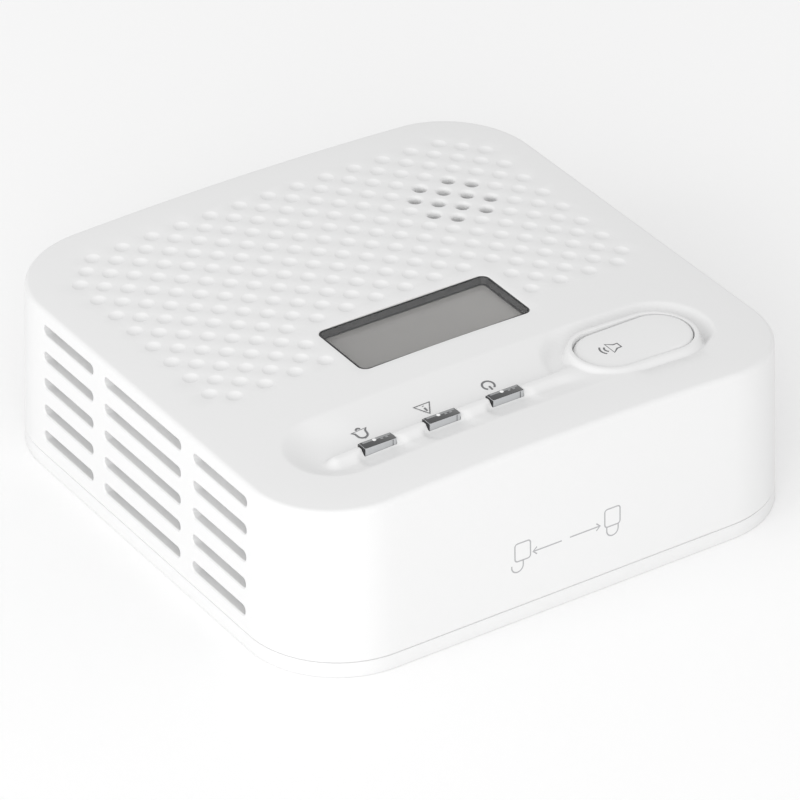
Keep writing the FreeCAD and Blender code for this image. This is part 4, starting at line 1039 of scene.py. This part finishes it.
class DETECTOR_OT_test_button(Operator):
    """Model the test button and its printed sign"""
    bl_idname = "detector.test_button"
    bl_label = "Test button"

    def execute(self, context):
        low, high = box_mm("test_button")
        middle = centre_mm("test_button")
        reach, side, top = 12.85, 7.05, high.z
        cap_floor, flange_floor, flange_top, flange_margin = 32.9, 31.9, 33.1, 1.1
        cap = tablet("test_button_cap", (middle.x - reach, middle.y - side, cap_floor),
                     (middle.x + reach, middle.y + side, top - 0.12), side * 0.9998, 24)
        bpy.ops.object.mode_set(mode="EDIT")
        pick(cap, "FACE", lambda face: face.normal.z > 0.9)
        bpy.ops.mesh.bevel(offset=0.95 * MM, segments=6, affect="EDGES", profile=0.5)
        pick(cap, "FACE", lambda face: face.normal.z > 0.999 and face.calc_area() > 1e-5)
        bpy.ops.mesh.inset(thickness=3.4 * MM, depth=0.12 * MM)
        bpy.ops.object.mode_set(mode="OBJECT")
        wide, deep = reach + flange_margin, side + flange_margin
        flange = tablet("flange", (middle.x - wide, middle.y - deep, flange_floor),
                        (middle.x + wide, middle.y + deep, flange_top), deep * 0.9998, 20)
        stem = turned("stem", middle.x, middle.y, ((2.0, low.z), (2.2, low.z + 0.3), (2.2, 32.2)), 32)
        shade(merge(cap, flange, stem))
        coat(stand_for(cap, "test_button"), "button_white")

        cone = [(-1.9, -0.75), (-0.9, -0.75), (0.4, -1.75), (0.4, 1.75), (-0.9, 0.75), (-1.9, 0.75)]
        speaker = [(cone, True),
                   (arc_points(0.4, 0.0, 1.1, -50, 50), False), (arc_points(0.4, 0.0, 2.0, -42, 42), False)]
        x, y = middle.x + 5.3, middle.y
        mark = sign("speaker_sign", speaker, 0.42, lambda u, v, h: Vector((x + u, y + v, top + h)))
        belongs(mark, "test_button")
        return {"FINISHED"}


class DETECTOR_OT_indicators(Operator):
    """Model the three light pipes with their inner details, a painted shadow in the gap at one end and a
    painted glint on each top, and the signs beside them
    """
    bl_idname = "detector.indicators"
    bl_label = "Indicators"

    def execute(self, context):
        form = FaceForm(context.scene.detector.casing)
        dome = arc_points(0.0, 0.35, 1.05, 180, 0, 12)
        bell = [([(-1.65, -0.95), (-1.15, -0.45)] + dome + [(1.15, -0.45), (1.65, -0.95)], True),
                (arc_points(0.0, -1.0, 0.5, 200, 340, 6), False), ([(0.0, 1.45), (0.0, 1.7)], False)]
        warning = [([(-1.8, -1.3), (1.8, -1.3), (0.0, 1.7)], True), ([(0.0, 0.75), (0.0, -0.25)], False),
                   ([(0.0, -0.72), (0.0, -0.86)], False)]
        power = [(arc_points(0.0, 0.0, 1.25, 125, 415, 18), False), ([(0.0, 0.3), (0.0, 1.5)], False)]
        for use, strokes in (("power", power), ("fault", warning), ("alarm", bell)):
            node = f"light_pipe_{use}"
            low, high = box_mm(node)
            middle = centre_mm(node)
            half_x, half_y, gap = 3.7, 1.2, 0.25
            head = tablet(f"{node}_bar", (middle.x - half_x, middle.y - half_y, low.z),
                          (middle.x + half_x - gap, middle.y + half_y, high.z), 0.2, 3)
            foot = tablet("foot", (low.x, low.y, 31.8), (high.x, high.y, 33.2), 0.3, 3)
            soften(merge(head, foot), 0.12, 2)
            coat(stand_for(head, node), "pipe_clear")

            # A thin black block fills the gap at the bar's +X end: painted shadow in the gap.
            gap_shadow = tablet(f"{node}_seal", (middle.x + half_x - gap, middle.y - half_y, high.z - 2.4),
                          (middle.x + half_x, middle.y + half_y, high.z - 0.12), 0.1, 2)
            seam_x = middle.x - 0.76 * half_x
            seam = tablet(f"{node}_seam", (seam_x - 0.06, middle.y + half_y - 0.03, high.z - 1.6),
                          (seam_x + 0.06, middle.y + half_y + 0.03, high.z - 0.12))
            far_y = middle.y - half_y
            strip = tablet(f"{node}_strip", (middle.x - half_x + 0.3, far_y + 0.2, high.z - 0.05),
                           (middle.x + half_x - 0.8, far_y + 0.7, high.z + 0.03), 0.1, 2)
            chips = [tablet("chip", (x - 0.28, far_y + 0.75, high.z - 0.05),
                            (x + 0.28, far_y + 1.15, high.z + 0.03))
                     for x in (middle.x - 1.2, middle.x - 2.3)]
            # The small white dot stands for the LED die and is a painted glint on the top.
            die_glint_bead = turned(f"{node}_bead", middle.x + 0.3, far_y + 0.6,
                          ((0.42, high.z - 0.02), (0.40, high.z + 0.04), (0.28, high.z + 0.08)), 16)
            soften(merge(strip, *chips), 0.02, 1)
            details = ((gap_shadow, "horn_black"), (seam, "horn_black"), (strip, "pipe_inner"),
                       (die_glint_bead, "lamp_white"))
            for piece, look in details:
                coat(shade(piece), look)
                belongs(piece, node)

            x, y = middle.x, form.ridge_y - 5.6

            def seat(u, v, height, x=x, y=y):
                """Just over the face, so that no stroke sinks between the net's points."""
                return Vector((x + u, y + v, form.outside(x + u, y + v) + 0.05 + height))

            mark = sign(f"{use}_sign", strokes, 0.42, seat)
            belongs(mark, "front_casing")
        return {"FINISHED"}


class DETECTOR_OT_display(Operator):
    """Model the display's lens, glass plates, polariser and black bezel"""
    bl_idname = "detector.display"
    bl_label = "Display"

    def execute(self, context):
        low, high = box_mm("lcd_window")
        lens = tablet("lcd_window_lens", low, high, 1.35, 8)
        coat(soften(lens, 0.12, 2), "window_clear")
        stand_for(lens, "lcd_window")
        coat(moulded_copy("lcd_bezel", "lcd_bezel_frame", 0.08), "display_black")
        low, high = box_mm("lcd_glass")
        middle = centre_mm("lcd_window")
        lower = tablet("lcd_glass_plates", low, (high.x, high.y, low.z + 1.0))
        upper = tablet("upper", (low.x, low.y + 2.4, low.z + 1.0), (high.x, high.y, high.z - 0.1))
        soften(merge(lower, upper), 0.05, 1)
        coat(stand_for(lower, "lcd_glass"), "display_glass")
        sight_x, sight_y, sight_top = 19.0, 7.5, 36.5
        film = tablet("lcd_polariser", (middle.x - sight_x, middle.y - sight_y, high.z - 0.1),
                      (middle.x + sight_x, middle.y + sight_y, sight_top), 0.9, 4)
        coat(soften(film, 0.03, 1), "display_glass")
        belongs(film, "lcd_glass")
        return {"FINISHED"}


class DETECTOR_OT_back(Operator):
    """Model the mounting plate, the rear casing, the battery door and the screws"""
    bl_idname = "detector.back"
    bl_label = "Back"

    def execute(self, context):
        coat(moulded_copy("mounting_plate", "mounting_plate_tray", 0.25), "plate_white")
        coat(moulded_copy("rear_casing", "rear_casing_moulding", 0.15), "rear_white")
        coat(moulded_copy("battery_door", "battery_door_flap", 0.15), "door_white")
        for node in ("case_screws", "board_screws"):
            coat(moulded_copy(node, f"{node}_set", 0.05), "screw_zinc")
        return {"FINISHED"}


class DETECTOR_OT_cells(Operator):
    """Model the three cells and their contacts"""
    bl_idname = "detector.cells"
    bl_label = "Cells"

    def execute(self, context):
        for index in (1, 2, 3):
            node = f"aa_cell_{index}"
            low, high = box_mm(node)
            middle = centre_mm(node)
            radius, nub, tall = (high.x - low.x) / 2, 1.3, high.y - low.y
            can = tall - nub
            rings = ((radius - 1.4, 0.25), (radius - 1.2, 0.0), (radius - 0.5, 0.0), (radius, 0.5),
                     (radius, can - 0.6), (radius - 0.5, can), (radius - 1.3, can), (radius - 1.6, can - 0.3),
                     (2.9, can - 0.3), (2.6, can), (2.55, tall - 0.25), (2.3, tall))
            cell = turned(f"{node}_body", middle.x, 0.0, rings, 56)
            nose_up = index != 2
            turn_piece(cell, -QUARTER if nose_up else QUARTER, "X")
            start = low.y if nose_up else high.y
            cell.data.transform(Matrix.Translation((0.0, start * MM, middle.z * MM)))
            shade(cell)
            coat(stand_for(cell, node), "cell_sleeve")
            cell.data.materials.append(FINISHES["cell_steel"])
            for face in cell.data.polygons:
                along = (face.center.y / MM - start) * (1 if nose_up else -1)
                face.material_index = 1 if along < 0.3 or along > can - 0.35 else 0
        for node in ("battery_contacts", "battery_springs"):
            coat(moulded_copy(node, f"{node}_set", 0.0), "contact_nickel")
        return {"FINISHED"}


class DETECTOR_OT_inner_parts(Operator):
    """Smooth the round parts on the circuit board"""
    bl_idname = "detector.inner_parts"
    bl_label = "Inner parts"

    def execute(self, context):
        parts = (("horn_housing", 0.2), ("piezo_disc", 0.0), ("dust_mesh", 0.0), ("co_sensor", 0.3),
                 ("co_sensor_cap", 0.2), ("booster_coil", 0.2), ("capacitor", 0.4), ("microcontroller", 0.1),
                 ("tact_switch", 0.1), ("switch_plunger", 0.15), ("lcd_frame", 0.1), ("zebra_strip", 0.1),
                 ("battery_leads", 0.0), ("piezo_leads", 0.0), ("led_power", 0.0), ("led_fault", 0.0),
                 ("led_alarm", 0.0), ("circuit_board", 0.1), ("side_baffle_left", 0.2),
                 ("side_baffle_right", 0.2))
        for node, edge in parts:
            slot_name = frame["nodes"][node].data.materials[0].name
            coat(moulded_copy(node, f"{node}_part", edge), slot_name)
        return {"FINISHED"}


class DETECTOR_OT_wall_signs(Operator):
    """Print the padlocks and arrows on the upper side"""
    bl_idname = "detector.wall_signs"
    bl_label = "Wall signs"

    def execute(self, context):
        form = FaceForm(context.scene.detector.casing)

        def seat(x, z, height):
            return Vector((x, form.half_width - form.lean(z) + height, z))

        signs = (("open_padlock_sign", padlock(10.4, 13.6, True)),
                 ("shut_padlock_sign", padlock(-10.6, 13.8, False)),
                 ("open_arrow_sign", arrow(1.3, 8.0, 14.6)), ("shut_arrow_sign", arrow(-0.6, -7.7, 14.7)))
        for name, strokes in signs:
            belongs(sign(name, strokes, 0.3, seat, "print_pale"), "front_casing")
        return {"FINISHED"}


class DETECTOR_OT_stage(Operator):
    """Set the floor, the lights and the camera"""
    bl_idname = "detector.stage"
    bl_label = "Stage"

    def execute(self, context):
        settings = context.scene.detector.stage
        bpy.ops.object.select_all(action="DESELECT")
        bpy.ops.mesh.primitive_plane_add(size=8.0, location=(0.0, 0.0, 0.0))
        floor = named("pale_floor")
        finish("floor_pale", tuple(settings.floor), 0.7, grain=300.0, depth=0.05, drift=0.02, drift_scale=3.0)
        coat(floor, "floor_pale")

        world = bpy.data.worlds.new("studio")
        context.scene.world = world
        world.use_nodes = True
        world.node_tree.nodes["Background"].inputs["Color"].default_value = (1.0, 1.0, 1.0, 1.0)
        world.node_tree.nodes["Background"].inputs["Strength"].default_value = settings.ambient

        aim = Vector((3.318, 6.198, 19.2)) * MM
        level = math.cos(settings.elevation)
        back = Vector((level * math.cos(settings.azimuth), level * math.sin(settings.azimuth),
                       math.sin(settings.elevation)))
        lights = (("key_light", (0.75, 0.95, 0.42), 0.9, settings.key),
                  ("side_light", (1.2, 0.1, 0.5), 0.8, settings.side))
        for name, place, size, power in lights:
            bpy.ops.object.light_add(type="AREA", location=place)
            light = named(name)
            light.data.shape = "DISK"
            light.data.size = size
            light.data.energy = power
            light.rotation_euler = (aim - Vector(place)).to_track_quat("-Z", "Y").to_euler()

        bpy.ops.object.camera_add(location=aim + back * settings.distance)
        camera = named("camera")
        turn = (-back).to_track_quat("-Z", "Y").to_matrix() @ Matrix.Rotation(settings.roll, 3, "Z")
        camera.rotation_euler = turn.to_euler()
        camera.data.lens = settings.lens
        camera.data.clip_start, camera.data.clip_end = 0.01, 50.0
        context.scene.camera = camera
        context.scene.view_settings.view_transform = "Standard"
        return {"FINISHED"}


STEPS = (
    DETECTOR_OT_finishes,
    DETECTOR_OT_front_casing,
    DETECTOR_OT_test_button,
    DETECTOR_OT_indicators,
    DETECTOR_OT_display,
    DETECTOR_OT_back,
    DETECTOR_OT_cells,
    DETECTOR_OT_inner_parts,
    DETECTOR_OT_wall_signs,
    DETECTOR_OT_stage,
)


class DETECTOR_PT_panel(Panel):
    """Sizes, colours and steps of the detector"""
    bl_idname = "DETECTOR_PT_panel"
    bl_label = "Carbon Monoxide Detector"
    bl_space_type = "VIEW_3D"
    bl_region_type = "UI"
    bl_category = "Detector"

    def draw(self, context):
        detector = context.scene.detector
        for group in (detector.casing, detector.finish, detector.stage):
            column = self.layout.column(align=True)
            for name in type(group).__annotations__:
                column.prop(group, name)
        for step in STEPS:
            self.layout.operator(step.bl_idname)


CLASSES = (CasingSettings, FinishSettings, StageSettings, DetectorSettings, *STEPS, DETECTOR_PT_panel)


def register():
    for made in CLASSES:
        bpy.utils.register_class(made)
    bpy.types.Scene.detector = PointerProperty(type=DetectorSettings)


def unregister():
    del bpy.types.Scene.detector
    for made in reversed(CLASSES):
        bpy.utils.unregister_class(made)


def main():
    register()
    for step in STEPS:
        group, name = step.bl_idname.split(".")
        getattr(getattr(bpy.ops, group), name)()


if __name__ == "__main__":
    main()
